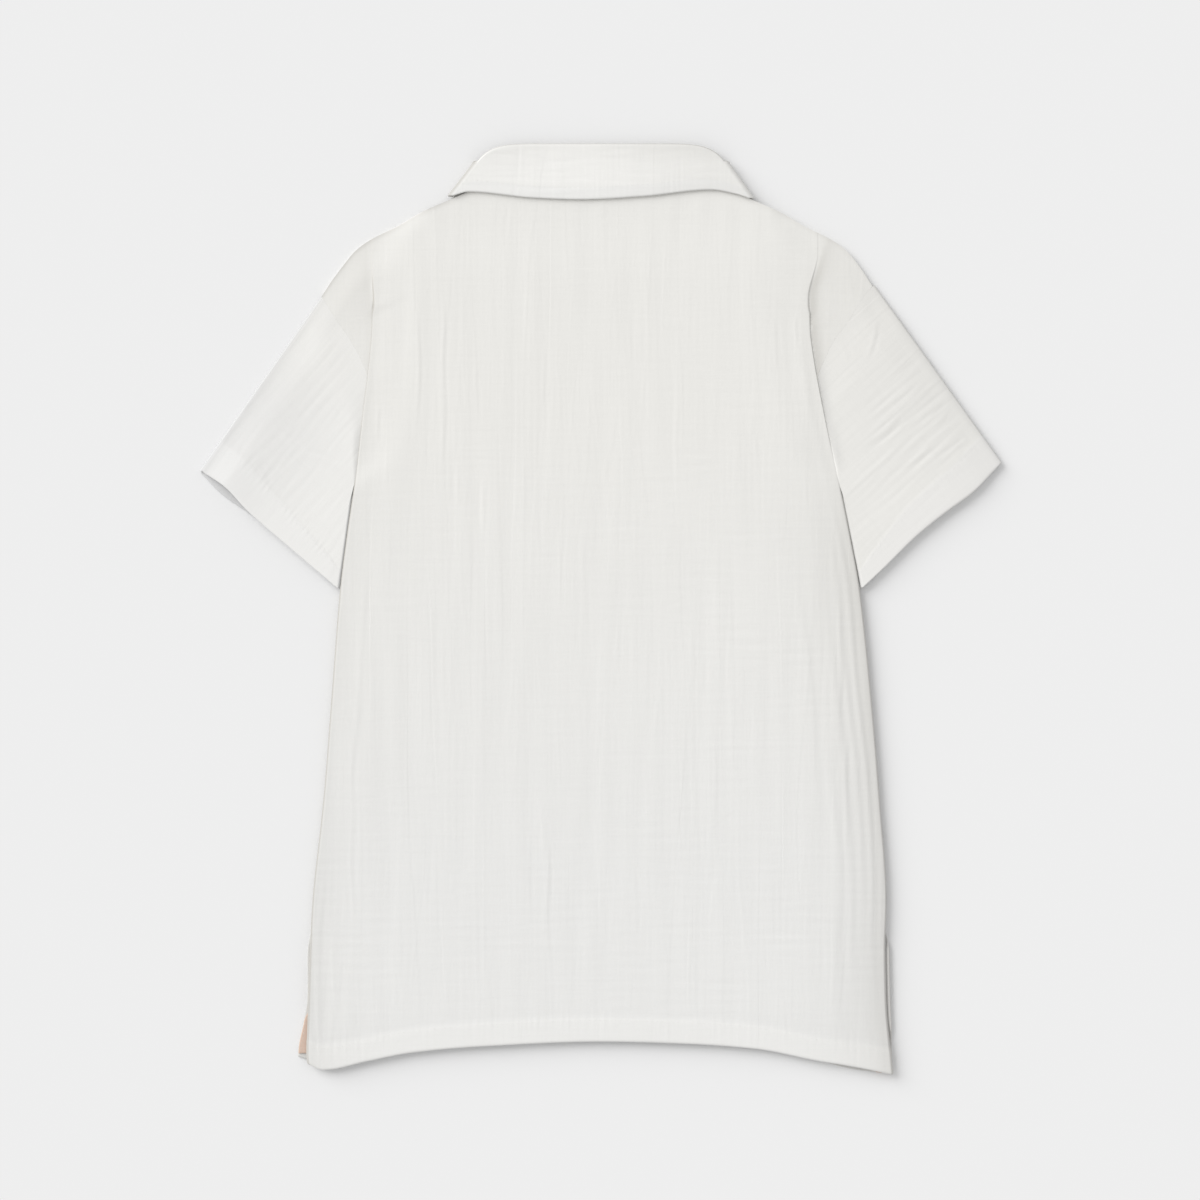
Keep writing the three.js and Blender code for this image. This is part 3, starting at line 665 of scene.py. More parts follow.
@dataclass
class Gauze:
    """The relief of the crinkled cloth: fine crinkle, broad waves and small cross wrinkles, in millimetres."""

    fine_height: float = 0.0095
    thin_height: float = 0.0055
    wave_height: float = 0.034
    cross_height: float = 0.019
    fine: Relief = field(default_factory=lambda: Relief(11, 4.4, 38))
    thin: Relief = field(default_factory=lambda: Relief(12, 2.6, 18))
    broad: Relief = field(default_factory=lambda: Relief(13, 21, 120, 0.5))
    cross: Relief = field(default_factory=lambda: Relief(14, 6.5, 34))
    amount: Relief = field(default_factory=lambda: Relief(15, 70, 90, 0.6))
    wander: Relief = field(default_factory=lambda: Relief(16, 60, 60, 0.6))
    tight: Relief = field(default_factory=lambda: Relief(17, 6.0, 34, 0.4))

    @staticmethod
    def pinched(height: Array) -> Array:
        """Sharpens the valleys of a relief, as creased cloth does."""
        return height - 0.25 * np.square(np.minimum(height, 0)) + 0.12

    def crinkle(self, x: Array, y: Array) -> Array:
        """Height of the fine crinkle, with x across the crinkles and y along them."""
        drift = x + 0.6 * self.wander.at(x, y)
        amount = np.clip(0.8 + 0.4 * self.amount.at(x + 200, y), 0.25, 1.7)
        fine = self.pinched(self.fine.at(drift, y)) * amount
        return self.fine_height * fine + self.thin_height * self.thin.at(drift, y)

    def waves(self, x: Array, y: Array) -> Array:
        """Height of broad soft waves along the cloth."""
        return self.wave_height * self.broad.at(x, y)

    def cross_wrinkles(self, x: Array, y: Array) -> Array:
        """Height of short wrinkles across the grain."""
        return self.cross_height * self.pinched(self.cross.at(y, x))


@dataclass
class Tubes:
    """Small tubes of thread, gathered into one piece."""

    name: str
    sides: int = 8
    points: list[Vector] = field(default_factory=list)
    faces: Faces = field(default_factory=list)

    def ring(self, centre: Vector, along: Vector, guide: Vector, radius: float) -> None:
        """Adds one ring of points.

        Args:
            centre: Its middle, in millimetres.
            along: The way of the tube.
            guide: A direction that the ring's first point is square to.
            radius: Its radius.
        """
        aside = along.cross(guide).normalized()
        up = aside.cross(along)
        for k in range(self.sides):
            angle = math.tau * k / self.sides
            self.points.append(centre + (aside * math.cos(angle) + up * math.sin(angle)) * radius)

    def join(self, first: int, count: int, closed: bool = False) -> None:
        """Joins rings into a tube.

        Args:
            first: Index of the first ring's first point.
            count: How many rings it has.
            closed: Whether the last ring joins the first, in place of a cap at each end.
        """
        for k in range(count if closed else count - 1):
            low, high = first + k * self.sides, first + ((k + 1) % count) * self.sides
            for n in range(self.sides):
                after = (n + 1) % self.sides
                self.faces.append((low + n, low + after, high + after, high + n))
        if not closed:
            last = first + (count - 1) * self.sides
            self.faces.append(tuple(range(first + self.sides - 1, first - 1, -1)))
            self.faces.append(tuple(range(last, last + self.sides)))

    def build(self) -> Piece:
        """Makes the tubes' mesh."""
        return metre_mesh(self.name, np.array(self.points), self.faces)


@dataclass
class Stitching(Tubes):
    """Runs of small raised stitches; each profile row is a share of the length, a rise and a share of the radius."""

    sides: int = 6
    length: float = 2.3
    gap: float = 0.8
    radius: float = 0.055
    sunk_below: float = 0.12
    ray_height: float = 0.05
    profile: tuple[Triple, ...] = (
        (0.0, -0.12, 0.35),
        (0.12, -0.01, 0.85),
        (0.5, 0.015, 1.0),
        (0.88, -0.01, 0.85),
        (1.0, -0.12, 0.35),
    )

    def sew(self, cloth: Piece, line: Array, from_below: bool = False) -> None:
        """Adds stitches along a line on the cloth.

        Args:
            cloth: The piece that is sewn.
            line: Plan points of the line, in millimetres.
            from_below: Whether the stitches lie on the cloth's lower face.
        """
        mesh = cloth.data
        tree = BVHTree.FromPolygons([v.co for v in mesh.vertices], [p.vertices for p in mesh.polygons])
        way = -1.0 if from_below else 1.0
        walked = np.concatenate([[0], np.cumsum(np.hypot(*np.diff(line, axis=0).T))])
        pitch = self.length + self.gap
        for start in np.arange(self.gap / 2, walked[-1] - self.length, pitch):
            stations = []
            for share, rise, width in self.profile:
                at = start + share * self.length
                x, y = np.interp(at, walked, line[:, 0]), np.interp(at, walked, line[:, 1])
                hit, *_ = tree.ray_cast(Vector((x * MM, y * MM, way * self.ray_height)), Vector((0, 0, -way)))
                if hit is None:
                    break
                sunk = rise - (self.sunk_below if from_below else 0)
                stations.append((Vector((x, y, hit.z / MM + way * sunk)), width * self.radius))
            if len(stations) == len(self.profile):
                first, along = len(self.points), (stations[-1][0] - stations[0][0]).normalized()
                for centre, radius in stations:
                    self.ring(centre, along, Vector((0, 0, 1)), radius)
                self.join(first, len(stations))


def hem_line(hem: Curve, low: float, high: float) -> Array:
    """Plan points of a hem's row of stitches, from one X to another."""
    x = np.linspace(low, high, 300)
    return np.stack([x, hem(x) + HEM_DEPTH - SEWN_INSIDE], axis=-1)


def fold_shade(pattern: Pattern, x: Array, y: Array) -> Array:
    """Painted shadow just outside the right armhole's fold, where it tucks under: how much darker the cloth is
    painted there.
    """
    beyond = x - pattern.back_edge[Side.RIGHT](y)
    along = smooth((y - UNDERARM_Y) / 20) * smooth((226 - y) / 30)
    return 0.75 * along * np.where(beyond > 0.2, bump(beyond / 4.5), 0)


@dataclass
class BackPanel:
    """The back: it shows whole, with its hem, its vents and the folds that cover the armhole seams."""

    pattern: Pattern
    gauze: Gauze
    rows: int = 262
    columns: int = 276
    turn_radius: float = 0.66
    fold_radius: float = 0.17
    fold_thin: float = 9.0
    fold_tuck: float = 5.0
    fold_steps: int = 6
    tuck_steps: int = 3
    fold_half: float = 0.14
    tail_steps: int = 14
    side_blend: float = 30.0
    puff: float = 0.7
    hem_step: float = 0.28
    kept_step: int = 6

    @property
    def turning_steps(self) -> int:
        """Steps of a side's path from the flat to the end of its second turn."""
        return 2 * self.fold_steps + self.tuck_steps

    def row_places(self) -> tuple[Array, Array]:
        """Share of the panel's length and offset in millimetres of each row, from the hem up."""
        low, roll = 2.0, 12.0
        shares = np.linspace(0, 1, self.rows)
        top = np.array([10, 8, 6, 4.3, 2.9, 1.8, 1.0, 0.5, 0.15, 0])
        share = np.concatenate([np.zeros(len(ROUND_EDGE)), shares, np.ones(len(top))])
        offset = np.concatenate([ROUND_EDGE, mix(low, -roll, shares), -top])
        return share, offset

    def row_y(self, share: Array, offset: Array, x: Array) -> Array:
        """Height up the shirt of a row at x."""
        hem = self.pattern.back_hem(x)
        return hem + share * (self.pattern.back_top(x) - hem) + offset

    def side_paths(self, side: Side, share: Array, offset: Array) -> Arrays:
        """The edge of each row from the flat of the back round its turns to its end.

        Args:
            side: The side of the shirt.
            share: Shares of the rows.
            offset: Offsets of the rows.

        Returns:
            Distance out, height, heading in degrees and length walked, each rows by steps.
        """
        edge, seam = self.pattern.back_edge[side], self.pattern.back_seam[side]
        fold_y = meet(self.row_y, share, offset, side, edge)
        seam_x = seam(meet(self.row_y, share, offset, side, seam))
        read = ("down", "back", "end", "crest")
        down, back, end, crest = (table_curve(FOLD_ROWS, "y", value)(fold_y) for value in read)
        shortest = 0.3
        tucked = np.maximum(0, (down - 90) / 85)
        folded = smooth((down - 90) / 70)
        radius = mix(self.turn_radius, self.fold_radius, folded)
        tuck = shortest + (self.fold_tuck - shortest) * tucked * tucked
        path = {key: [0 * down] for key in ("u", "z", "heading", "walked")}

        def walk(length: Array, turn: Array) -> None:
            """Adds one step to every row's path."""
            middle = np.radians(path["heading"][-1] + turn / 2)
            path["u"].append(path["u"][-1] + length * np.cos(middle))
            path["z"].append(path["z"][-1] + length * np.sin(middle))
            path["heading"].append(path["heading"][-1] + turn)
            path["walked"].append(path["walked"][-1] + length)

        for angle, sign in ((down, -1), (back, 1)):
            step = np.maximum(radius * np.radians(angle), shortest) / self.fold_steps
            for _ in range(self.fold_steps):
                walk(step, sign * angle / self.fold_steps)
            if sign < 0:
                for _ in range(self.tuck_steps):
                    walk(tuck / self.tuck_steps, 0 * down)
        shift = edge(fold_y) - WALL / 2 - np.max(path["u"], axis=0)
        reach = (seam_x - (path["u"][-1] + shift)) * np.cos(np.radians(path["heading"][-1]))
        tail = np.maximum(shortest, reach)
        reached = 0 * tail
        for count in range(1, self.tail_steps + 1):
            place = TAIL_PLACES[count - 1] if count <= len(TAIL_PLACES) else 1e3
            near = np.minimum(TAIL_PLACES[-1], tail * len(TAIL_PLACES) / self.tail_steps)
            spread = (count - len(TAIL_PLACES)) / (self.tail_steps - len(TAIL_PLACES))
            target = np.minimum(place, tail * count / self.tail_steps) if spread <= 0 else mix(near, tail, spread)
            walk(target - reached, 0 * down)
            reached = target
        drop = -path["z"][-1]
        most = mix(2.6, 1.0, smooth((down - 90) / 60))
        stretch = np.minimum(most, (crest - end) / np.maximum(drop, 0.01))
        lift = crest - end - stretch * drop
        ramp = [lift * (1 - smooth(length / np.minimum(path["walked"][-1], 22))) for length in path["walked"]]
        path["z"] = [end + stretch * (z + drop) + more for z, more in zip(path["z"], ramp)]
        path["u"] = [u + shift for u in path["u"]]
        for k, u in enumerate(path["u"]):
            path["z"][k] = path["z"][k] + self.pattern.raised(side, u, self.row_y(share, offset, side.value * u))
        path["fold_y"] = [fold_y] * len(path["u"])
        path["folded"] = [folded] * len(path["u"])
        return {key: np.array(value).T for key, value in path.items()}

    def plateau(self, x: Array, y: Array) -> Array:
        """Height of the back's middle away from its sides."""
        across = np.abs(x)
        plateau = BACK_MID + self.puff * smooth((236 - y) / 40) * smooth((y + 276) / 40)
        inside = np.clip((self.pattern.back_top(x) - y) / 12, 0, 1)
        edge = UPPER_MID + 0.6 + COLLAR_LIFT * self.pattern.lift_share(x, y)
        rolled = mix(edge, plateau, np.sqrt(1 - np.square(1 - inside)))
        return mix(plateau, rolled, smooth((across - NECK_CORNER_X) / 12))

    def creases(self, x: Array, y: Array) -> Array:
        """Height of the creases along the shirt and of the folds beside its edges."""
        lines = [(crease, crease.x + 0.5 * np.sin(0.11 * y + crease.x)) for crease in CREASES]
        for fold in EDGE_FOLDS:
            edge = fold.side.value * (self.pattern.back_edge[fold.side](y) - fold.inset)
            lines.append((fold, edge + 0.8 * np.sin(0.045 * y + fold.inset)))
        height = np.zeros_like(x)
        for line, centre in lines:
            shape = crease_profile(x - centre, line.width)
            height = height + line.depth * shape * ends(y, line.y_top, line.y_bottom)
        return height

    def hem_height(self, x: Array, distance: Array) -> Array:
        """Height of the hem band: a raised double fold with a sewn groove and small puckers at its top."""
        band = self.hem_step * smooth((HEM_DEPTH - distance) / 1.1 + 0.5)
        pucker = 0.035 * self.gauze.thin.at(x, 0 * x + 300) + 0.03 * self.gauze.fine.at(x, 0 * x + 90)
        groove = -0.04 * bump((distance - HEM_DEPTH + SEWN_INSIDE) / 0.6)
        return band + groove + pucker * bump((distance - HEM_DEPTH + 1) / 5)

    def surface(self) -> tuple[Array, Array, Arrays]:
        """Points of the outer and inner faces and the masks of the finish, rows by columns."""
        share, offset = self.row_places()
        paths = {side: self.side_paths(side, share, offset) for side in Side}
        left, right = paths[Side.LEFT], paths[Side.RIGHT]
        t = np.linspace(0, 1, self.columns + 1)[None, :]
        x = mix(-left["u"][:, :1], right["u"][:, :1], t)
        y = self.row_y(share[:, None], offset[:, None], x)
        read = ("u", "z", "folded")
        start_u, start_z, folded = (np.where(x < 0, left[key][:, :1], right[key][:, :1]) for key in read)
        thin = folded * smooth(1.4 * (1 - (start_u - np.abs(x)) / self.fold_thin))
        less = WALL / 2 - self.fold_half
        z = mix(start_z - less * folded, self.plateau(x, y), smooth((start_u - np.abs(x)) / self.side_blend))
        z = z + less * thin
        flat = np.zeros_like(x)
        middle = {"x": x, "y": y, "z": z, "nx": flat, "nz": flat + 1, "s": x, "loose": flat + 1, "thin": thin}
        left_part, right_part = (self.edge_part(side, paths[side], share, offset) for side in Side)
        parts = [left_part, middle, right_part]
        whole = {key: np.concatenate([part[key] for part in parts], axis=1) for key in middle}
        distance = np.maximum(whole["y"] - self.pattern.back_hem(whole["x"]), 0)
        above_hem = smooth((distance - HEM_DEPTH) / 6)
        loose = whole["loose"] * smooth((250 - whole["y"]) / 8)
        across, up = whole["s"], whole["y"]
        low_zone = bump((up + 190) / 75) + 0.35 * bump((up - 60) / 80)
        low_zone = low_zone + 0.9 * bump((across - 85) / 65) * bump((up + 10) / 110)
        crinkle = self.gauze.crinkle(across, up) + self.creases(across, up) * above_hem
        crinkle = crinkle + self.gauze.cross_wrinkles(across, up) * (0.4 + low_zone)
        height = crinkle * loose * mix(0.45, 1, above_hem) + self.hem_height(across, distance)
        height = height * smooth(distance / 1.2)
        wave = self.gauze.waves(across, up) * loose * smooth((distance - 4) / 20)
        whole["z"] = whole["z"] + wave * np.maximum(whole["nz"], 0)
        half = rounded_half(distance, WALL / 2) - less * whole["thin"]
        masks = {
            DOUBLED: doubled_by(HEM_DEPTH, distance),
            # Painted shade of the back's sides, yoke, top edge, fold and lit turns.
            PAINTED_SHADE: self.shade(whole["x"], whole["y"], whole["nz"]),
        }
        return self.moved(whole, half + height), self.moved(whole, -half), masks

    def shade(self, x: Array, y: Array, nz: Array) -> Array:
        """Painted shade on the back, as a mask from 0 to 1: beside its sides, on the yoke, under its top edge, beside
        the right armhole's fold and on turns that face the light.
        """
        left_edge, right_edge = (self.pattern.back_edge[side](y) for side in Side)
        left, right = np.abs(left_edge + x), np.abs(right_edge - x)
        low, side = smooth((-100 - y) / 100), smooth((110 - y) / 100)
        beside = 0.15 * bump(left / 3) + 0.2 * low * bump(left / 12) + (0.1 + 0.06 * side) * bump(left / 30)
        beside = beside + 0.2 * bump(right / 6) + side * (0.3 * bump(right / 12) + 0.36 * bump(right / 34))
        yoke_left = smooth((-x - left_edge) / 3) * smooth((y - 80) / 20)
        yoke_right = smooth((x - right_edge) / 3) * smooth((y - 80) / 20)
        beside = beside + 0.28 * smooth((y - 150) / 50) * yoke_left + 0.22 * yoke_right
        below_top = np.maximum(self.pattern.back_top(x) - y, 0)
        beside = beside + np.where(x < 0, 0.65, 0.3) * bump(below_top / 2) * smooth((np.abs(x) - 70) / 10)
        beside = beside + fold_shade(self.pattern, x, y)
        turned = np.minimum(np.where(x < 0, 3.2, 0.6) * np.sqrt(1 - np.square(nz)), 1.7)
        return darkened(beside + turned)

    def edge_part(self, side: Side, path: Arrays, share: Array, offset: Array) -> Arrays:
        """The side's turned edge as grid columns in the order of X."""
        sign = side.value
        keys = ("u", "z", "heading", "walked", "fold_y", "folded")
        u, z, heading, walked, fold_y, folded = (path[key][:, 1:] for key in keys)
        x, turned = sign * u, np.radians(heading)
        beyond = u - self.pattern.back_edge[side](fold_y)
        unfolded = smooth((fold_y - 196) / 12)
        steps_out = np.arange(1, u.shape[1] + 1) - self.turning_steps
        shown = np.maximum(unfolded, smooth(beyond / 3)) * smooth((walked[:, -1:] - walked) / 6)
        part = {
            "x": x,
            "y": self.row_y(share[:, None], offset[:, None], x),
            "z": z,
            "thin": folded * smooth(1 - steps_out / 4)[None, :],
            "nx": -sign * np.sin(turned),
            "nz": np.cos(turned),
            "s": sign * (path["u"][:, :1] + walked),
            "loose": np.maximum(np.clip(1 - walked / 3.5, 0, 1) * 0.8, shown),
        }
        if side is Side.LEFT:
            part = {key: value[:, ::-1] for key, value in part.items()}
        return part

    @staticmethod
    def moved(whole: Arrays, out: Array) -> Array:
        """Points moved out of the middle of the cloth."""
        return np.stack([whole["x"] + whole["nx"] * out, whole["y"], whole["z"] + whole["nz"] * out], axis=-1)

    def build(self) -> Piece:
        """Makes the panel."""
        outer, inner, masks = self.surface()
        rows, columns = outer.shape[:2]
        edge = self.turning_steps + self.tail_steps
        turns = [*range(0, edge + 2, 2), *range(columns - edge - 2, columns, 2)]
        kept_rows = every(rows, self.kept_step, range(len(ROUND_EDGE) + 1))
        kept_columns = every(columns, self.kept_step, turns)
        return closed_cloth("back_panel", outer, inner, masks, kept=(kept_rows, kept_columns))


@dataclass
class FrontPanel:
    """The front: it lies under the back and shows at the vents, at the hem and from below."""

    pattern: Pattern
    gauze: Gauze
    rows: int = 180
    side_columns: int = 44
    neck_columns: int = 34
    slot_half: float = PLACKET_WIDTH / 2 + SEAM_GAP
    slot_bottom: float = PLACKET_BOTTOM - SEAM_GAP

    def row_y(self, share: Array, offset: Array, x: Array) -> Array:
        """Height up the shirt of a row at x."""
        hem = self.pattern.front_hem(x)
        return hem + share * (self.pattern.front_top(x) - hem) + offset

    def shares(self) -> Array:
        """Shares of the rows, with one at the bottom of the placket's slot."""
        hem = float(self.pattern.front_hem(self.slot_half))
        top = float(self.pattern.front_top(np.array(self.slot_half)))
        slot = (self.slot_bottom - hem) / (top - hem)
        shares = np.linspace(0, 1, self.rows)
        shares[np.argmin(np.abs(shares - slot))] = slot
        return shares

    def half_columns(self, edge: Array) -> Array:
        """Distances from the centre line of one half's columns, from its edge to the slot."""
        near = edge[:, None] - np.array(ROUND_EDGE)[None, :]
        t = np.linspace(0.02, 1, self.side_columns)[None, :-1]
        side = mix(near[:, -1:], NECK_CORNER_X, t)
        turn = np.cos(np.linspace(0, math.pi / 2, self.neck_columns))[None, :]
        neck = mix(self.slot_half, NECK_CORNER_X, turn) + 0 * edge[:, None]
        return np.concatenate([near, side, neck], axis=1)

    def build(self) -> Piece:
        """Makes the panel with its slot left open."""
        shares = self.shares()
        share = np.concatenate([np.zeros(len(ROUND_EDGE)), shares])
        offset = np.concatenate([ROUND_EDGE, mix(1.4, 0, np.minimum(shares * 12, 1))])
        edges = {}
        for side in Side:
            curve = self.pattern.front_edge[side]
            edges[side] = curve(meet(self.row_y, share, offset, side, curve))
        left = -self.half_columns(edges[Side.LEFT])
        right = self.half_columns(edges[Side.RIGHT])[:, ::-1]
        x = np.concatenate([left, right], axis=1)
        y = self.row_y(share[:, None], offset[:, None], x)
        own_edge = np.where(x < 0, edges[Side.LEFT][:, None], edges[Side.RIGHT][:, None])
        distance = np.maximum(y - self.pattern.front_hem(x), 0)
        inside = np.maximum(np.minimum(own_edge - np.abs(x), distance), 0)
        half = rounded_half(inside, WALL / 2)
        middle = LOWER_MID + COLLAR_LIFT * self.pattern.lift_share(x, y) + self.vent_lift(x, y)
        crinkle = np.minimum(self.gauze.crinkle(x + 57, y), 0.2) * smooth(inside / 3)
        outer = np.stack([x, y, middle + half + crinkle], axis=-1)
        inner = np.stack([x, y, middle - half], axis=-1)
        columns = x.shape[1]
        gaps = np.zeros((len(share) - 1, columns - 1), bool)
        low = len(ROUND_EDGE) + int(np.argmin(np.abs(self.slot_y(shares) - self.slot_bottom)))
        gaps[low:, columns // 2 - 1] = True
        # Painted shade darkens the front near its edges, where they show beside the back.
        masks = {DOUBLED: doubled_by(HEM_DEPTH, distance), PAINTED_SHADE: darkened(1.2 * bump(inside / 1.6))}
        return closed_cloth("front_panel", outer, inner, masks, gaps=gaps)

    def vent_lift(self, x: Array, y: Array) -> Array:
        """How far the front's edge stands up beside the right vent, where it shows past the back."""
        height = 1.9
        along = smooth((-192 - y) / 12) * smooth((y + 262) / 12)
        return height * along * smooth((x - self.pattern.back_edge[Side.RIGHT](y) - 0.1) / 1.5)

    def slot_y(self, shares: Array) -> Array:
        """Height of each row at the slot's edge."""
        return self.row_y(shares, 0 * shares, np.full(len(shares), self.slot_half))


@dataclass
class SleeveEdge:
    """One long edge of a sleeve: the way out of it and the middle of its turn at each end."""

    out: Array
    cuff: Array
    armhole: Array


@dataclass
class Sleeve:
    """A sleeve: a flat tube from its cuff to the armhole seams, with its band turned up and sewn."""

    pattern: Pattern
    gauze: Gauze
    side: Side
    columns: int = 92
    rows: int = 108
    turn_steps: int = 8
    turn_radius: float = (UPPER_MID - LOWER_MID) / 2
    shown_gap: float = 0.025
    hidden_gap: float = 1.2
    tip_gap: float = 0.3
    plateau: float = 1.8

    def __post_init__(self) -> None:
        """Works out the edges, the way out of the cuff and the length of the sleeve."""
        self.cut = SLEEVE_CUTS[self.side]
        self.seam = self.pattern.back_seam[self.side]
        outer_corner = np.array(self.cut.cuff_outer, float)
        inner_corner = np.array(self.cut.cuff_inner, float)
        tip = np.array([float(self.seam(self.cut.tip_y)), self.cut.tip_y])
        fold = self.pattern.back_edge[self.side]
        underarm = np.array([float(fold(UNDERARM_Y)) + self.shown_gap, UNDERARM_Y])
        self.outer_edge = self.edge_of(tip, outer_corner, 1, self.tip_gap)
        self.inner_edge = self.edge_of(underarm, inner_corner, -1, 0)
        self.across = (inner_corner - outer_corner) / np.linalg.norm(inner_corner - outer_corner)
        self.cuff_out = np.array([-self.across[1], self.across[0]]) * (1 if self.across[0] < 0 else -1)
        middle = self.armhole_at(np.array([0.5]), self.seam, np.array([self.hidden_gap]))[0]
        self.length = float(np.linalg.norm(middle - self.cuff_at(np.array([0.5]), ())[0]))

    def edge_of(self, top: Array, corner: Array, way: int, gap: float) -> SleeveEdge:
        """The long edge from a point of the armhole to a corner of the cuff."""
        along = (corner - top) / np.linalg.norm(corner - top)
        out = np.array([-along[1], along[0]]) * way
        inset = self.turn_radius + WALL / 2
        return SleeveEdge(out, corner - out * inset, top - out * inset + along * gap)

    def cuff_at(self, s: Array, bends: tuple[Bend, ...]) -> Array:
        """Plan points of the cuff's edge at shares of its width."""
        bent = sum((bend.out * bump((s - bend.at) / bend.width) for bend in bends), 0 * s)
        line = mix(self.outer_edge.cuff, self.inner_edge.cuff, s[:, None])
        return line + self.cuff_out * bent[:, None]

    def armhole_at(self, s: Array, edge: Curve, gap: Array) -> Array:
        """Plan points of the armhole at shares of its length."""
        y = mix(self.outer_edge.armhole[1], UNDERARM_Y, s)
        line = np.stack([edge(y) + gap, y], axis=-1)
        line = mix(line, self.inner_edge.armhole, smooth((s - 0.9) / 0.1)[:, None])
        line[s == 0] = self.outer_edge.armhole
        return line

    def run_plan(self, s: Array, t: Array, upper: bool) -> Array:
        """Plan points of one face of the sleeve, rows by columns by 2."""
        bends = self.cut.upper_bends if upper else self.cut.lower_bends
        if upper:
            armhole = self.armhole_at(s, self.seam, mix(self.shown_gap, self.hidden_gap, smooth(5 * s - 2.8)))
        else:
            armhole = self.armhole_at(s, self.pattern.front_edge[self.side], self.hidden_gap + 0 * s)
        return mix(self.cuff_at(s, bends)[None], armhole[None], t[:, None, None])

    def upper_z(self, s: Array, t: Array, plan: Array) -> Array:
        """Height of the middle of the upper face."""
        within, away = smooth(6 * s)[None], smooth(5 * (1 - t))[:, None]
        lift = self.cut.lift.out * bump((s - self.cut.lift.at) / self.cut.lift.width)
        plateau = (self.plateau + lift[None] * smooth(1 - 2.5 * t)[:, None]) * within
        beside = self.pattern.raised(self.side, plan[..., 0], plan[..., 1])
        return UPPER_MID + mix(beside, plateau, away)

    def relief(self, plan: Array, distance: Array) -> Array:
        """Height of the upper face's crinkle, creases and sewn band."""
        x, y = plan[..., 0] * self.side.value, plan[..., 1]
        along = plan[..., 0] * self.cuff_out[0] + plan[..., 1] * self.cuff_out[1]
        across = plan[..., 0] * self.across[0] + plan[..., 1] * self.across[1]
        shift = 300 * self.side.value
        height = 1.1 * self.gauze.crinkle(along + shift, across)
        height = height + self.gauze.waves(along + shift, across)
        height = height + self.creased(along, across) * smooth(1.25 - distance / 95)
        height = height + self.gauze.cross_wrinkles(along, across + shift)
        for furrow in FURROWS[self.side]:
            start, stop = np.array([furrow.x1, furrow.y1]), np.array([furrow.x2, furrow.y2])
            length = float(np.linalg.norm(stop - start))
            way = (stop - start) / length
            u = (x - start[0]) * way[0] + (y - start[1]) * way[1]
            v = (y - start[1]) * way[0] - (x - start[0]) * way[1]
            fade = smooth(u / (0.4 * length)) * smooth((length - u) / (0.4 * length))
            bent = v - 0.06 * length * np.sin(math.pi * np.clip(u / length, 0, 1))
            height = height + 0.62 * furrow.depth * crease_profile(bent, furrow.width) * fade
        loose = mix(0.35, 1, smooth((distance - CUFF_DEPTH) / 5)) * smooth((self.length - distance) / 14)
        band = self.cut.band_step * smooth((CUFF_DEPTH - distance) / 2.2 + 0.5)
        groove = -0.03 * bump((distance - CUFF_DEPTH + SEWN_INSIDE) / 0.6)
        pucker = 0.08 * self.gauze.thin.at(across, 0 * across + 40) * bump((distance - CUFF_DEPTH + 1) / 5)
        return (height * loose + band + groove + pucker) * smooth(distance / 1.2)

    def creased(self, along: Array, across: Array) -> Array:
        """Height of the many small creases across the sleeve, stronger on the right one's outer half."""
        outer = float(self.outer_edge.cuff @ self.across)
        share = smooth(1.3 - (across - outer) / 70)
        return self.cut.creased * share * self.gauze.pinched(self.gauze.tight.at(along, across))

    def build(self) -> Piece:
        """Makes the sleeve."""
        s = np.linspace(0, 1, self.columns)
        edge = np.array(ROUND_EDGE) / self.length
        dense = 5.0 / self.length
        t = np.concatenate([edge, np.linspace(edge[-1] + 0.6 / self.length, 1 - dense, self.rows)])
        t = np.concatenate([t, np.linspace(1 - dense, 1, 15)[1:]])
        distance = (t * self.length)[:, None]
        half = rounded_half(distance, WALL / 2)
        upper = self.run_plan(s, t, True)
        lower = self.run_plan(s, t, False)[:, ::-1]
        fade = smooth(12 * s)[None] * smooth(12 * (1 - s))[None]
        raise_by = self.relief(upper, distance + 0 * upper[..., 0]) * mix(0.35, 1, fade)
        top = self.upper_z(s, t, upper)
        up, down = np.array([0, 0, 1.0]), np.array([0, 0, -1.0])
        lifted = self.plateau * smooth(5 * (1 - t))
        outer_lift = self.cut.outer_lift * smooth(4 * (1 - t))
        under = LOWER_MID + lifted[:, None] * smooth(5 * s - 4)[::-1][None]
        under = under + outer_lift[:, None] * smooth(1 - 8 * s)[::-1][None]
        top = top + outer_lift[:, None] * smooth(1 - 6 * s)[None]
        blocks = [self.block(upper, top, up, half + raise_by, -half)]
        blocks.append(self.turn(self.inner_edge, t, half, False, lifted))
        blocks.append(self.block(lower, under, down, half, -half))
        blocks.append(self.turn(self.outer_edge, t, half, True, outer_lift))
        outer = np.concatenate([block[0] for block in blocks], axis=1)
        inner = np.concatenate([block[1] for block in blocks], axis=1)
        masks = {
            DOUBLED: doubled_by(CUFF_DEPTH, distance) + 0 * outer[..., 0],
            # Painted shade of the sleeve's edges, outer part and the fold beside it.
            PAINTED_SHADE: self.shade(s, t, upper, outer.shape[1]),
        }
        return closed_cloth(f"sleeve_{self.side.word}_cloth", outer, inner, masks, loop=True)

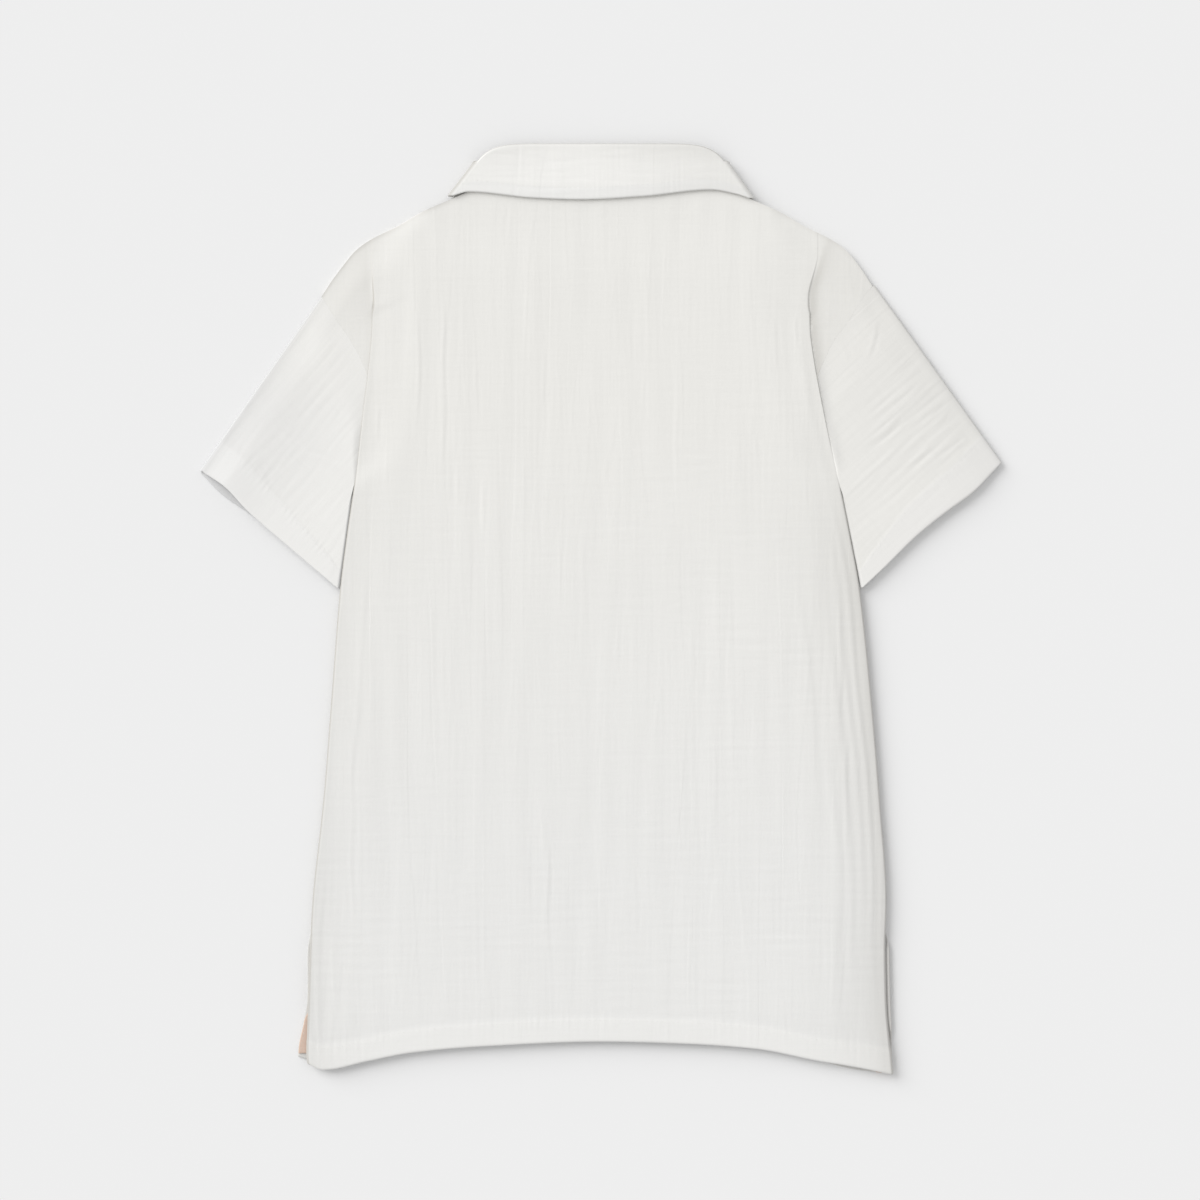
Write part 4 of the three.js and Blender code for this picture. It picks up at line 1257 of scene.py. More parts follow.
    def shade(self, s: Array, t: Array, plan: Array, columns: int) -> Array:
        """Painted shade near the sleeve's folded edges, on its outer part and beside the right armhole's fold, as a
        mask from 0 to 1.
        """
        sleeve_shade = SLEEVE_PAINTED_SHADES[self.side]
        folded = np.full(columns, sleeve_shade.turned)
        folded[: len(s)] = sleeve_shade.fold * bump(s / 0.02)
        rim = np.zeros(columns)
        rim[: len(s)] = sleeve_shade.rim * smooth(1.6 - s / 0.12)
        across = np.zeros(columns)
        across[: len(s)] = sleeve_shade.outer * smooth(1.15 - s / 0.65)
        band = smooth((CUFF_DEPTH - t * self.length) / 2 + 0.5)
        along = 1 - 0.85 * smooth((t - 0.4) / 0.5)
        outer = np.zeros(columns)
        outer[: len(s)] = smooth(1.5 - s / 0.3)
        banded = mix(1, mix(0.3, 0.72, outer)[None, :], band[:, None])
        shaded = sleeve_shade.all_over + (across[None, :] * along[:, None] + rim[None, :]) * banded + folded[None, :]
        shaded[:, : len(s)] += fold_shade(self.pattern, plan[..., 0] * self.side.value, plan[..., 1])
        return darkened(shaded)

    def block(self, plan: Array, z: Array, normal: Array, out: Array, back: Array) -> tuple[Array, Array]:
        """Outer and inner points of part of the ring.

        Args:
            plan: Plan points, rows by columns by 2.
            z: Heights of the middle of the cloth.
            normal: The way out of the cloth, with X away from the body.
            out: Distance out to the outer face.
            back: Distance out to the inner face, below zero.

        Returns:
            The outer points and the inner points.
        """
        middle = np.concatenate([plan, np.broadcast_to(z, plan.shape[:2])[..., None]], axis=-1)
        mirror = np.array([self.side.value, 1, 1])
        made = [(middle + normal * np.broadcast_to(d, plan.shape[:2])[..., None]) * mirror for d in (out, back)]
        return made[0], made[1]

    def turn(self, edge: SleeveEdge, t: Array, half: Array, rising: bool, lifted: Array) -> tuple[Array, Array]:
        """The round turn between the two faces along one long edge, lifted off the floor along its length."""
        angles = np.radians(np.linspace(90, -90, self.turn_steps + 2)[1:-1])
        if rising:
            angles = angles[::-1]
        flat, rise = np.cos(angles), np.sin(angles)
        line = mix(edge.cuff, edge.armhole, t[:, None])
        plan = line[:, None] + self.turn_radius * flat[None, :, None] * edge.out
        z = LOWER_MID + self.turn_radius * (1 + rise)[None] + lifted[:, None]
        normal = np.concatenate([flat[:, None] * edge.out, rise[:, None]], axis=-1)[None]
        return self.block(plan, z, normal, half, -half)

    def cuff_line(self) -> Array:
        """Plan points of the cuff's row of stitches."""
        t = np.array([(CUFF_DEPTH - SEWN_INSIDE) / self.length])
        plan = self.run_plan(np.linspace(0.01, 0.99, 200), t, True)[0]
        return plan * np.array([self.side.value, 1])


@dataclass
class Collar:
    """The collar: leaf and stand in one folded band round the neck, open at the centre front."""

    pattern: Pattern
    gauze: Gauze
    wall: float = 1.5
    middle: float = 3.55
    leaf_reach: float = 2.8
    stand_reach: float = 0.975
    leaf_side: float = 92.2
    fold_end: float = 77.4
    fold_fall: float = 10.5
    front_fall: float = 61.5
    droop: float = 1.4
    front_steps: int = 30
    turn_steps: int = 10
    back_steps: int = 112
    leaf_steps: int = 40
    fold_steps: int = 9
    stand_steps: int = 10
    sewn_band: float = 7.0

    def places(self) -> Arrays:
        """Places round the collar, as plan points of its fold, leaf edge and seam, and the way out."""
        reach = self.leaf_reach + self.wall / 2
        fold_side = self.fold_end - reach
        leaf_side = self.leaf_side - reach
        stand_side = NECK_CORNER_X - self.stand_reach - self.wall / 2
        seam_y = NECK_Y + SEAM_GAP
        leaf_back = table_curve(LEAF_BACK, "x", "y")

        def fold_y(x: Array) -> Array:
            """Height of the collar's fold at x."""
            return COLLAR_FOLD_Y - self.fold_fall * np.abs(x / fold_side) ** 9

        along = np.linspace(0, 1, self.front_steps + 1)
        angle = np.pi / 2 * (1 - along)
        front_seam = seam_y - FRONT_NECK_DEPTH * np.sin(angle)
        halves = []
        for side in Side:
            corner_y = float(leaf_back(side.value * self.leaf_side))
            low = float(fold_y(np.array(fold_side)))
            front = {
                "fold": (mix(FRONT_NECK_END_X, fold_side, np.cos(angle)), low - self.front_fall * np.sin(angle)),
                "leaf": (mix(COLLAR_POINT[0], leaf_side, along), mix(COLLAR_POINT[1], corner_y, along)),
                "stand": (mix(FRONT_NECK_END_X, stand_side, np.cos(angle)), front_seam),
            }
            share = np.linspace(1, 0, self.back_steps + 1)
            back = {
                "fold": (fold_side * share, fold_y(fold_side * share)),
                "leaf": (leaf_side * share, leaf_back(side.value * self.leaf_side * share)),
                "stand": (stand_side * share, seam_y + 0 * share),
            }
            turns = self.turn_steps - 1
            facing = np.concatenate([
                np.full(len(along), -90.0),
                -90 + 180 * np.arange(1, self.turn_steps) / self.turn_steps,
                np.full(len(share), 90.0),
            ])
            half = {}
            for key in front:
                columns = [np.concatenate([f, np.full(turns, f[-1]), b]) for f, b in zip(front[key], back[key])]
                half[key] = np.stack([side.value * columns[0], columns[1]], axis=-1)
            turned = np.radians(facing)
            half["out"] = np.stack([side.value * np.cos(turned), np.sin(turned)], axis=-1)
            halves.append(half)
        return {key: np.concatenate([halves[0][key], halves[1][key][::-1][1:]]) for key in halves[0]}

    def surface(self) -> tuple[Array, Array, Arrays]:
        """Points of the outer and inner faces and the masks of the finish, levels by places."""
        places = self.places()
        half = self.wall / 2
        radius = (self.leaf_reach - self.stand_reach) / 2
        up = places["fold"] - places["stand"]
        up = up / np.linalg.norm(up, axis=-1, keepdims=True)
        centre = places["fold"] + up * (-half - radius)
        depth = np.linalg.norm(places["leaf"] - centre, axis=-1)
        levels = []
        for d in ROUND_EDGE:
            levels.append((mix(places["leaf"], centre, (d / depth)[:, None]), self.leaf_reach, 0.0, 1.0))
        for t in np.linspace(0, 1, self.leaf_steps + 1)[1:]:
            start = 1.0 / depth
            share = (start + (1 - start) * t)[:, None]
            levels.append((mix(places["leaf"], centre, share), self.leaf_reach, 0.0, 1.0))
        for angle in np.linspace(0, np.pi, self.fold_steps + 2)[1:-1]:
            along, away = np.sin(angle), np.cos(angle)
            plan = centre + up * radius * along
            levels.append((plan, (self.leaf_reach + self.stand_reach) / 2 + radius * away, along, away))
        for t in np.linspace(0, 1, self.stand_steps + 1):
            levels.append((mix(centre, places["stand"], t), self.stand_reach, 0.0, -1.0))
        plan = np.stack([level[0] for level in levels])
        reach, along, away = (np.array([level[k] for level in levels])[:, None] for k in (1, 2, 3))
        edge = np.linalg.norm(plan - places["leaf"][None], axis=-1)
        on_leaf = away > 0.99
        thick = np.where(on_leaf, rounded_half(edge, half), half)
        shown = np.maximum(places["out"][None, :, 1], 0) ** 4 * smooth(away + 0.2)
        relief = self.relief(plan, edge) * shown * smooth(edge / 1.2)

        def at(out: Array) -> Array:
            """Points at a distance out of the middle of the cloth."""
            radial = reach + away * out
            x = plan[..., 0] + up[None, :, 0] * along * out + places["out"][None, :, 0] * radial
            y = plan[..., 1] + up[None, :, 1] * along * out
            risen = np.clip((plan[..., 1] - places["stand"][None, :, 1]) / (COLLAR_FOLD_Y - NECK_Y), 0, 1)
            facing = np.maximum(places["out"][None, :, 1], 0)
            droop = self.droop * risen * smooth((NECK_CORNER_X - np.abs(x)) / 45) * facing
            return np.stack([x, y, self.middle + places["out"][None, :, 1] * radial - droop], axis=-1)

        masks = {
            DOUBLED: np.where(on_leaf, doubled_by(self.sewn_band, edge), 0) * shown,
            # Painted shade of the collar's fold, its ends and its right part.
            PAINTED_SHADE: darkened(self.shade(plan, away) + self.end_shade(places["out"])[None]),
        }
        return at(thick + relief), at(-thick), masks

    @staticmethod
    def end_shade(out: Array) -> Array:
        """Painted shade on the collar's turned ends, strongest on the left end that faces the light, from the way out
        at each place.
        """
        return np.minimum(np.where(out[:, 0] < 0, 2.6, 0.4) * np.abs(out[:, 0]), 1.6)

    def shade(self, plan: Array, away: Array) -> Array:
        """Painted shade on the collar at its fold and towards its right end."""
        turned = np.where(np.abs(away) < 0.99, 1 - np.clip(away, 0, 1), 0)
        below_fold = COLLAR_FOLD_Y - plan[..., 1]
        right = smooth((plan[..., 0] + 20) / 90)
        near_fold = bump(below_fold / 9) * (0.2 + 0.25 * right)
        return 2.4 * turned + 0.8 * near_fold + 0.24 * right

    def relief(self, plan: Array, edge: Array) -> Array:
        """Height of the collar's crinkle and its sewn edge."""
        x, y = plan[..., 0], plan[..., 1]
        height = 0.6 * self.gauze.crinkle(x + 120, y + 60) + self.gauze.cross_wrinkles(x + 70, y)
        height = height + 0.5 * self.gauze.waves(x + 40, y)
        groove = -0.035 * bump((edge - self.sewn_band) / 0.7)
        pucker = 0.015 * self.gauze.thin.at(x, 0 * x + 500) * bump((edge - self.sewn_band) / 4)
        return height + groove + pucker

    def sewn_line(self) -> Array:
        """Plan points of the row of stitches along the leaf's edge on the back."""
        x = np.linspace(-88, 88, 240)
        return np.stack([x, table_curve(LEAF_BACK, "x", "y")(x) + self.sewn_band], axis=-1)

    def build(self) -> Piece:
        """Makes the collar."""
        outer, inner, masks = self.surface()
        return closed_cloth("collar_cloth", outer, inner, masks)


@dataclass
class Band:
    """A flat sewn strip: a placket band or a vent's tape."""

    name: str
    left: Curve
    right: Curve
    bottom: float
    top: float
    middle: float
    wall: float = PLACKET_WALL
    rows: int = 110
    columns: int = 26
    crinkle: float = 0.5
    lower_edge: Curve | None = None

    def build(self, gauze: Gauze) -> Piece:
        """Makes the strip with rounded edges."""
        edge = np.array(ROUND_EDGE)
        y = np.concatenate([self.bottom + edge, np.linspace(self.bottom + 1.5, self.top - 1.5, self.rows)])
        y = np.concatenate([y, self.top - edge[::-1]])
        low, high = self.left(y), self.right(y)
        share = np.linspace(0, 1, self.columns)[None, :]
        inner = mix(low[:, None] + 1.5, high[:, None] - 1.5, share)
        x = np.concatenate([low[:, None] + edge, inner, high[:, None] - edge[::-1]], axis=1)
        y = y[:, None] + 0 * x
        aside = np.minimum(x - low[:, None], high[:, None] - x)
        inside = np.minimum(aside, np.minimum(y - self.bottom, self.top - y))
        half = rounded_half(np.maximum(inside, 0), self.wall / 2)
        rise = self.crinkle * np.clip(gauze.crinkle(x + 31, y), -0.2, 0.2) * smooth(inside / 2)
        if self.lower_edge is not None:
            y = mix(self.lower_edge(x), self.top, (y - self.bottom) / (self.top - self.bottom))
        outer = np.stack([x, y, self.middle + half + rise], axis=-1)
        under = np.stack([x, y, self.middle - half], axis=-1)
        return closed_cloth(self.name, outer, under)

    def line(self, inset: float) -> list[Array]:
        """Plan points of a row of stitches up each side, a distance inside it."""
        y = np.linspace(self.bottom + inset, self.top - inset, 120)
        return [np.stack([x, y], axis=-1) for x in (self.left(y) + inset, self.right(y) - inset)]


@dataclass
class Button:
    """A four-hole button, face down: a dished face with a rounded rim, sewn with a cross of thread."""

    name: str
    y: float
    radius: float = 5.5
    depth: float = 1.5
    hole_radius: float = 0.8
    hole_offset: float = 1.5
    hole_sides: int = 20
    segments: int = 64

    def profile(self) -> list[tuple[float, float]]:
        """Radius and height of the turned outline, from the middle of the face round to the middle behind."""
        r, d = self.radius, self.depth
        face = [(2.6, 0.42), (3.1, 0.36), (3.6, 0.12), (4.1, 0.01), (4.7, 0.0)]
        rim = [(r - 0.32, 0.1), (r - 0.08, 0.34), (r, d / 2), (r - 0.1, d - 0.3), (r - 0.4, d - 0.06)]
        return [*face, *rim, (4.4, d), (2.6, d)]

    def build(self) -> Piece:
        """Turns the outline and drills its four holes."""
        rings = self.profile()
        angles = np.arange(self.segments) * math.tau / self.segments
        points = [(r * math.cos(a), self.y + r * math.sin(a), z) for r, z in rings for a in angles]
        faces = as_faces(grid_quads(np.arange(len(rings)), np.arange(self.segments), self.segments, True))
        faces.append(tuple(range(self.segments)))
        last = (len(rings) - 1) * self.segments
        faces.append(tuple(range(last + self.segments - 1, last - 1, -1)))
        made = metre_mesh(self.name, np.array(points), faces)
        for across in (-1, 1):
            for along in (-1, 1):
                self.drill(made, across * self.hole_offset, self.y + along * self.hole_offset)
        return made

    def drill(self, made: Piece, x: float, y: float) -> None:
        """Cuts one hole through the button."""
        n = self.hole_sides
        angles = np.arange(n) * math.tau / n
        ring = [(x + self.hole_radius * math.cos(a), y + self.hole_radius * math.sin(a)) for a in angles]
        points = [(*p, z) for z in (-1.0, self.depth + 1) for p in ring]
        faces = as_faces(grid_quads(np.arange(2), np.arange(n), n, True))
        caps = [tuple(range(n)), tuple(range(2 * n - 1, n - 1, -1))]
        tool = metre_mesh("drill", np.array(points), [*faces, *caps])
        cut = made.modifiers.new("hole", "BOOLEAN")
        cut.operation, cut.solver, cut.object = "DIFFERENCE", "EXACT", tool
        bpy.context.view_layer.objects.active = made
        bpy.ops.object.modifier_apply(modifier=cut.name)
        bpy.data.objects.remove(tool, do_unlink=True)

    def thread(self, sewing: "ThreadRuns") -> None:
        """Sews the button on with two crossed runs of thread in its dish."""
        o = self.hole_offset
        for sign in (-1, 1):
            start, stop = Vector((-o, self.y - sign * o, 1.0)), Vector((o, self.y + sign * o, 1.0))
            dip = Vector((0, self.y, 0.16 + 0.1 * sign))
            sewing.run([start, start + Vector((0, 0, -0.72)), dip, stop + Vector((0, 0, -0.72)), stop], 0.26)


class ThreadRuns(Tubes):
    """Round runs of thread through given points."""

    def run(self, route: list[Vector], radius: float, closed: bool = False) -> None:
        """Adds a tube along a route.

        Args:
            route: Points of its middle, in millimetres.
            radius: Its radius.
            closed: Whether its last point joins its first.
        """
        first, count = len(self.points), len(route)
        for k, centre in enumerate(route):
            before = route[(k - 1) % count] if closed or k else centre
            after = route[(k + 1) % count] if closed or k < count - 1 else centre
            along = (after - before).normalized()
            guide = Vector((0, 0, 1)) if abs(along.z) < 0.9 else Vector((1, 0, 0))
            self.ring(centre, along, guide, radius)
        self.join(first, count, closed)

    def buttonhole(self, y: float, z: float, length: float = 13.0, half_width: float = 1.3) -> None:
        """Adds the worked edge of one upright buttonhole."""
        steps, ripple, thread_radius = 56, 0.12, 0.34
        reach = length / 2 - half_width
        route = []
        for angle in [math.tau * k / steps for k in range(steps)]:
            end = reach if math.sin(angle) > 0 else -reach
            out = half_width + ripple * math.sin(steps / 2 * angle)
            route.append(Vector((out * math.cos(angle), y + end + out * math.sin(angle), z)))
        self.run(route, thread_radius, True)


class Wiring:
    """Adds and joins the nodes of one shader tree."""

    def __init__(self, tree: Tree) -> None:
        """Keeps the tree."""
        self.tree = tree

    def node(self, kind: str, inputs: dict[str | int, object] | None = None, **settings: object) -> bpy.types.Node:
        """Adds a node.

        Args:
            kind: The node's type.
            inputs: Values or sockets for its inputs, by name or number.
            settings: Its own properties.

        Returns:
            The node.
        """
        made = self.tree.nodes.new(kind)
        for key, value in settings.items():
            setattr(made, key, value)
        self.feed(made, inputs or {})
        return made

    def feed(self, made: bpy.types.Node, inputs: dict[str | int, object]) -> None:
        """Sets inputs of a node to values, or links them to sockets."""
        for key, value in inputs.items():
            if isinstance(value, Socket):
                self.tree.links.new(value, made.inputs[key])
            else:
                made.inputs[key].default_value = value

    def mottle(self, fibre: Tree, size: float) -> Socket:
        """Adds the fibres' mottling at a size in millimetres and gives its mask."""
        return self.node("ShaderNodeGroup", {"Size": size}, node_tree=fibre).outputs["Mask"]

    def mask(self, name: str) -> Socket:
        """Gives a mask that the mesh carries."""
        return self.node("ShaderNodeAttribute", attribute_name=name).outputs["Fac"]

    def math(self, operation: str, a: object, b: object = 0.0, c: object = 0.0) -> Socket:
        """Adds a math node and gives its result."""
        return self.node("ShaderNodeMath", {0: a, 1: b, 2: c}, operation=operation).outputs[0]

    def noise(self, vector: object, scale: float, detail: float = 2.0, rough: float = 0.5) -> Socket:
        """Adds a noise texture and gives its factor."""
        inputs = {"Vector": vector, "Scale": scale, "Detail": detail, "Roughness": rough}
        return self.node("ShaderNodeTexNoise", inputs).outputs["Fac"]

    def creases(self, vector: object, scale: Triple, width: float) -> Socket:
        """Thin creases along the middle level of a stretched noise: a small ridge beside a small groove.

        Args:
            vector: The place.
            scale: Rates of the noise along each axis.
            width: Half width of a crease, as a share of the noise.

        Returns:
            A height from about -0.3 to 0.3.
        """
        level = self.math("SUBTRACT", self.streaks(vector, scale, 1.0, 0.4), 0.5)
        t = self.math("DIVIDE", level, width)
        spread = self.math("ADD", self.math("MULTIPLY", t, t), 1.0)
        return self.math("DIVIDE", t, self.math("MULTIPLY", spread, spread))

    def patches(self, vector: object, scale: Triple, level: float) -> Socket:
        """Soft patches from 0 to 1 where a stretched noise is over a level."""
        over = self.math("SUBTRACT", self.streaks(vector, scale, 1.0, 0.4), level)
        return self.node("ShaderNodeMath", {0: over, 1: 6.0}, operation="MULTIPLY", use_clamp=True).outputs[0]

    def streaks(
        self, vector: object, scale: Triple, detail: float = 2.0, rough: float = 0.5
    ) -> Socket:
        """Adds a noise texture with its own rate along each axis and gives its factor."""
        return self.noise(self.stretched(vector, scale), 1.0, detail, rough)

    def stretched(self, vector: object, scale: Triple) -> Socket:
        """Scales a position along each axis."""
        inputs = {0: vector, 1: scale}
        return self.node("ShaderNodeVectorMath", inputs, operation="MULTIPLY").outputs[0]

    def blend(self, share: object, a: object, b: object, how: str = "MIX") -> Socket:
        """Mixes two colours."""
        inputs = {0: share, 6: a, 7: b}
        return self.node("ShaderNodeMix", inputs, data_type="RGBA", blend_type=how).outputs[2]


def new_group(name: str, inputs: dict[str, float], outputs: Sequence[str]) -> tuple[Tree, Wiring]:
    """Makes an empty shader node group with number inputs and outputs.

    Args:
        name: Name of the group.
        inputs: Names of its inputs with their usual values.
        outputs: Names of its outputs.

    Returns:
        The group and its wiring.
    """
    group = bpy.data.node_groups.new(name, "ShaderNodeTree")
    for key, value in inputs.items():
        socket = group.interface.new_socket(key, in_out="INPUT", socket_type="NodeSocketFloat")
        socket.default_value = value
    for key in outputs:
        group.interface.new_socket(key, in_out="OUTPUT", socket_type="NodeSocketFloat")
    return group, Wiring(group)


def new_material(name: str) -> tuple[Material, Wiring, bpy.types.Node]:
    """Makes a material and gives it with its wiring and its shader."""
    material = bpy.data.materials.new(name)
    material.use_nodes = True
    return material, Wiring(material.node_tree), material.node_tree.nodes["Principled BSDF"]


class Embossing(NamedTuple):
    """Fine lines in patches: rates of the lines' noise, their width, rates and level of the patches, and depth."""

    scale: Triple
    width: float
    patch: Triple
    level: float
    depth: float


EMBOSSINGS = (
    Embossing((0.075, 0.005, 0.05), 0.05, (0.035, 0.012, 0.03), 0.38, 0.075),
    Embossing((0.19, 0.009, 0.05), 0.08, (0.05, 0.02, 0.03), 0.38, 0.034),
    Embossing((0.009, 0.17, 0.05), 0.08, (0.02, 0.03, 0.03), 0.44, 0.028),
    Embossing((0.02, 0.06, 0.05), 0.05, (0.03, 0.02, 0.03), 0.5, 0.045),
)


def weave_group() -> Tree:
    """Makes the open weave with slubs, crinkle and embossed lines.

    Its inputs are the angle of the grain, the threads' pitch and the heights of the threads and the crinkle.
    Its outputs are a height in millimetres and a shade about 1.
    """
    inputs = {"Turn": 0.0, "Pitch": 0.7, "Thread": 0.02, "Crinkle": 0.05}
    group, wire = new_group("open_weave", inputs, ("Height", "Shade"))
    given = wire.node("NodeGroupInput").outputs
    place = wire.node("ShaderNodeTexCoord").outputs["Object"]
    turned = wire.node("ShaderNodeVectorRotate", {"Vector": place, "Angle": given["Turn"]}, rotation_type="Z_AXIS")
    grain = wire.stretched(turned.outputs[0], (MM_IN_A_METRE,) * 3)
    wobble = wire.node("ShaderNodeTexNoise", {"Vector": grain, "Scale": 0.22, "Detail": 2.0}).outputs["Color"]
    moved = wire.node("ShaderNodeVectorMath", {0: wobble, 1: (1.4, 1.4, 0), 2: grain}, operation="MULTIPLY_ADD")
    split = wire.node("ShaderNodeSeparateXYZ", {0: moved.outputs[0]}).outputs
    rate = wire.math("DIVIDE", math.tau, given["Pitch"])
    warp = wire.math("SINE", wire.math("MULTIPLY", split["X"], rate))
    weft = wire.math("SINE", wire.math("MULTIPLY", split["Y"], rate))
    threads = wire.math("MULTIPLY", wire.math("ADD", warp, weft), given["Thread"])
    thick_weft = wire.streaks(moved.outputs[0], (0.055, 1.1, 0.4))
    thick_warp = wire.streaks(moved.outputs[0], (1.2, 0.04, 0.4))
    crinkle = wire.streaks(moved.outputs[0], (0.34, 0.022, 0.1), 3.0, 0.6)
    slubs = wire.math("MULTIPLY", wire.math("ADD", thick_weft, thick_warp), 0.03)
    ridges = wire.math("MULTIPLY", crinkle, given["Crinkle"])
    height = wire.math("ADD", wire.math("ADD", threads, slubs), ridges)
    for lines in EMBOSSINGS:
        shown = wire.math("MULTIPLY", wire.patches(grain, lines.patch, lines.level), lines.depth)
        drawn = wire.creases(moved.outputs[0], lines.scale, lines.width)
        height = wire.math("ADD", height, wire.math("MULTIPLY", drawn, shown))
    cloud = wire.streaks(grain, (0.02, 0.012, 0.02), 3.0)
    spread = wire.math("ADD", wire.math("MULTIPLY", thick_weft, 0.028), wire.math("MULTIPLY", thick_warp, 0.014))
    spread = wire.math("ADD", spread, wire.math("MULTIPLY", cloud, 0.03))
    shade = wire.math("ADD", spread, 1 - 0.036)
    wire.node("NodeGroupOutput", {"Height": height, "Shade": shade})
    return group


def fibre_group() -> Tree:
    """Makes the soft mottling of cotton fibres: a mask from 0 to 1 that varies over a millimetre or so."""
    group, wire = new_group("fibre_fuzz", {"Size": 1.0}, ("Mask",))
    given = wire.node("NodeGroupInput").outputs
    place = wire.node("ShaderNodeTexCoord").outputs["Object"]
    rate = wire.math("DIVIDE", MM_IN_A_METRE, given["Size"])
    scaled = wire.node("ShaderNodeVectorMath", {0: place, "Scale": rate}, operation="SCALE")
    wire.node("NodeGroupOutput", {"Mask": wire.noise(scaled.outputs[0], 1.0, 4.0, 0.7)})
    return group


@dataclass(frozen=True)
class ClothFinish:
    """A woven cotton: its colours from collar to hem, where it is doubled, the tint of its painted shade, and its
    weave and grain.
    """

    name: str
    upper: Triple
    lower: Triple
    doubled: Triple
    # Tint of painted shade: the colour that the painted shade mask multiplies the base colour by.
    seam: Triple = (0.62, 0.606, 0.58)
    span: tuple[float, float] = (-0.16, 0.12)
    turn: float = 0.0
    pitch: float = 0.7
    thread: float = 0.012
    crinkle: float = 0.035
    roughness: float = 0.92
    sheen: float = 0.12
    fuzz_size: float = 0.9
    fuzz_height: float = 0.02
    fuzz_rough: float = 0.08

    def make(self, weave: Tree, fibre: Tree) -> Material:
        """Makes the material.

        Args:
            weave: The weave's node group.
            fibre: The fibres' node group.

        Returns:
            The material.
        """
        material, wire, shader = new_material(self.name)
        given = {"Turn": self.turn, "Pitch": self.pitch, "Thread": self.thread, "Crinkle": self.crinkle}
        threads = wire.node("ShaderNodeGroup", given, node_tree=weave).outputs
        fuzz = wire.mottle(fibre, self.fuzz_size)
        place = wire.node("ShaderNodeTexCoord").outputs["Object"]
        up = wire.node("ShaderNodeSeparateXYZ", {0: place}).outputs["Y"]
        share = wire.node("ShaderNodeMapRange", {0: up, 1: self.span[0], 2: self.span[1]}).outputs[0]
        body = wire.blend(share, (*self.lower, 1), (*self.upper, 1))
        base = wire.blend(wire.mask(DOUBLED), body, (*self.doubled, 1))
        # Painted shade: the mask blends the base colour towards the base multiplied by the shade tint in seam.
        base = wire.blend(wire.mask(PAINTED_SHADE), base, wire.blend(1.0, base, (*self.seam, 1), "MULTIPLY"))
        shade = wire.node("ShaderNodeCombineColor", {channel: threads["Shade"] for channel in range(3)})
        colour = wire.blend(1.0, base, shade.outputs[0], "MULTIPLY")
        height = wire.math("ADD", threads["Height"], wire.math("MULTIPLY", fuzz, self.fuzz_height))
        bumped = wire.node("ShaderNodeBump", {"Strength": 1.0, "Distance": MM, "Height": height})
        rough = wire.math("ADD", wire.math("MULTIPLY", fuzz, self.fuzz_rough), self.roughness - self.fuzz_rough / 2)
        wire.feed(shader, {"Base Color": colour, "Roughness": rough, "Normal": bumped.outputs[0]})
        wire.feed(shader, {"Sheen Weight": self.sheen, "Sheen Roughness": 0.6, "Specular IOR Level": 0.25})
        return material


@dataclass(frozen=True)
class ButtonFinish:
    """White resin with a soft gloss and faint pearl clouds."""

    name: str = "white_resin"
    light: Triple = (0.86, 0.84, 0.79)
    dark: Triple = (0.78, 0.755, 0.70)

    def make(self, fibre: Tree) -> Material:
        """Makes the material."""
        material, wire, shader = new_material(self.name)
        scratches = wire.mottle(fibre, 0.35)
        colour = wire.blend(wire.mottle(fibre, 3.5), (*self.dark, 1), (*self.light, 1))
        rough = wire.math("ADD", wire.math("MULTIPLY", scratches, 0.14), 0.24)
        bumped = wire.node("ShaderNodeBump", {"Strength": 0.25, "Distance": 0.02 * MM, "Height": scratches})
        wire.feed(shader, {"Base Color": colour, "Roughness": rough, "Normal": bumped.outputs[0]})
        wire.feed(shader, {"Coat Weight": 0.3, "Coat Roughness": 0.12})
        return material


@dataclass(frozen=True)
class ThreadFinish:
    """Twisted sewing thread."""

    name: str
    colour: Triple

    def make(self, fibre: Tree) -> Material:
        """Makes the material."""
        material, wire, shader = new_material(self.name)
        place = wire.node("ShaderNodeTexCoord").outputs["Object"]
        given = {"Vector": place, "Scale": 620.0, "Distortion": 1.5}
        twist = wire.node("ShaderNodeTexWave", given, bands_direction="DIAGONAL")
        fuzz = wire.mottle(fibre, 0.3)
        dark = tuple(0.9 * value for value in self.colour)
        colour = wire.blend(fuzz, (*dark, 1), (*self.colour, 1))
        bumped = wire.node("ShaderNodeBump", {"Strength": 0.5, "Distance": 0.06 * MM, "Height": twist.outputs["Fac"]})
        rough = wire.math("ADD", wire.math("MULTIPLY", fuzz, 0.2), 0.6)
        wire.feed(shader, {"Base Color": colour, "Roughness": rough, "Normal": bumped.outputs[0]})
        wire.feed(shader, {"Sheen Weight": 0.2})
        return material


@dataclass(frozen=True)
class FloorFinish:
    """The plain pale surface under the shirt."""

    name: str = "pale_floor"
    colour: Triple = (0.8, 0.8, 0.8)

    def make(self, fibre: Tree) -> Material:
        """Makes the material."""
        material, wire, shader = new_material(self.name)
        dark = tuple(0.998 * value for value in self.colour)
        colour = wire.blend(wire.mottle(fibre, 60.0), (*dark, 1), (*self.colour, 1))
        wire.feed(shader, {"Base Color": colour, "Roughness": 1.0, "Specular IOR Level": 0.0})
        return material


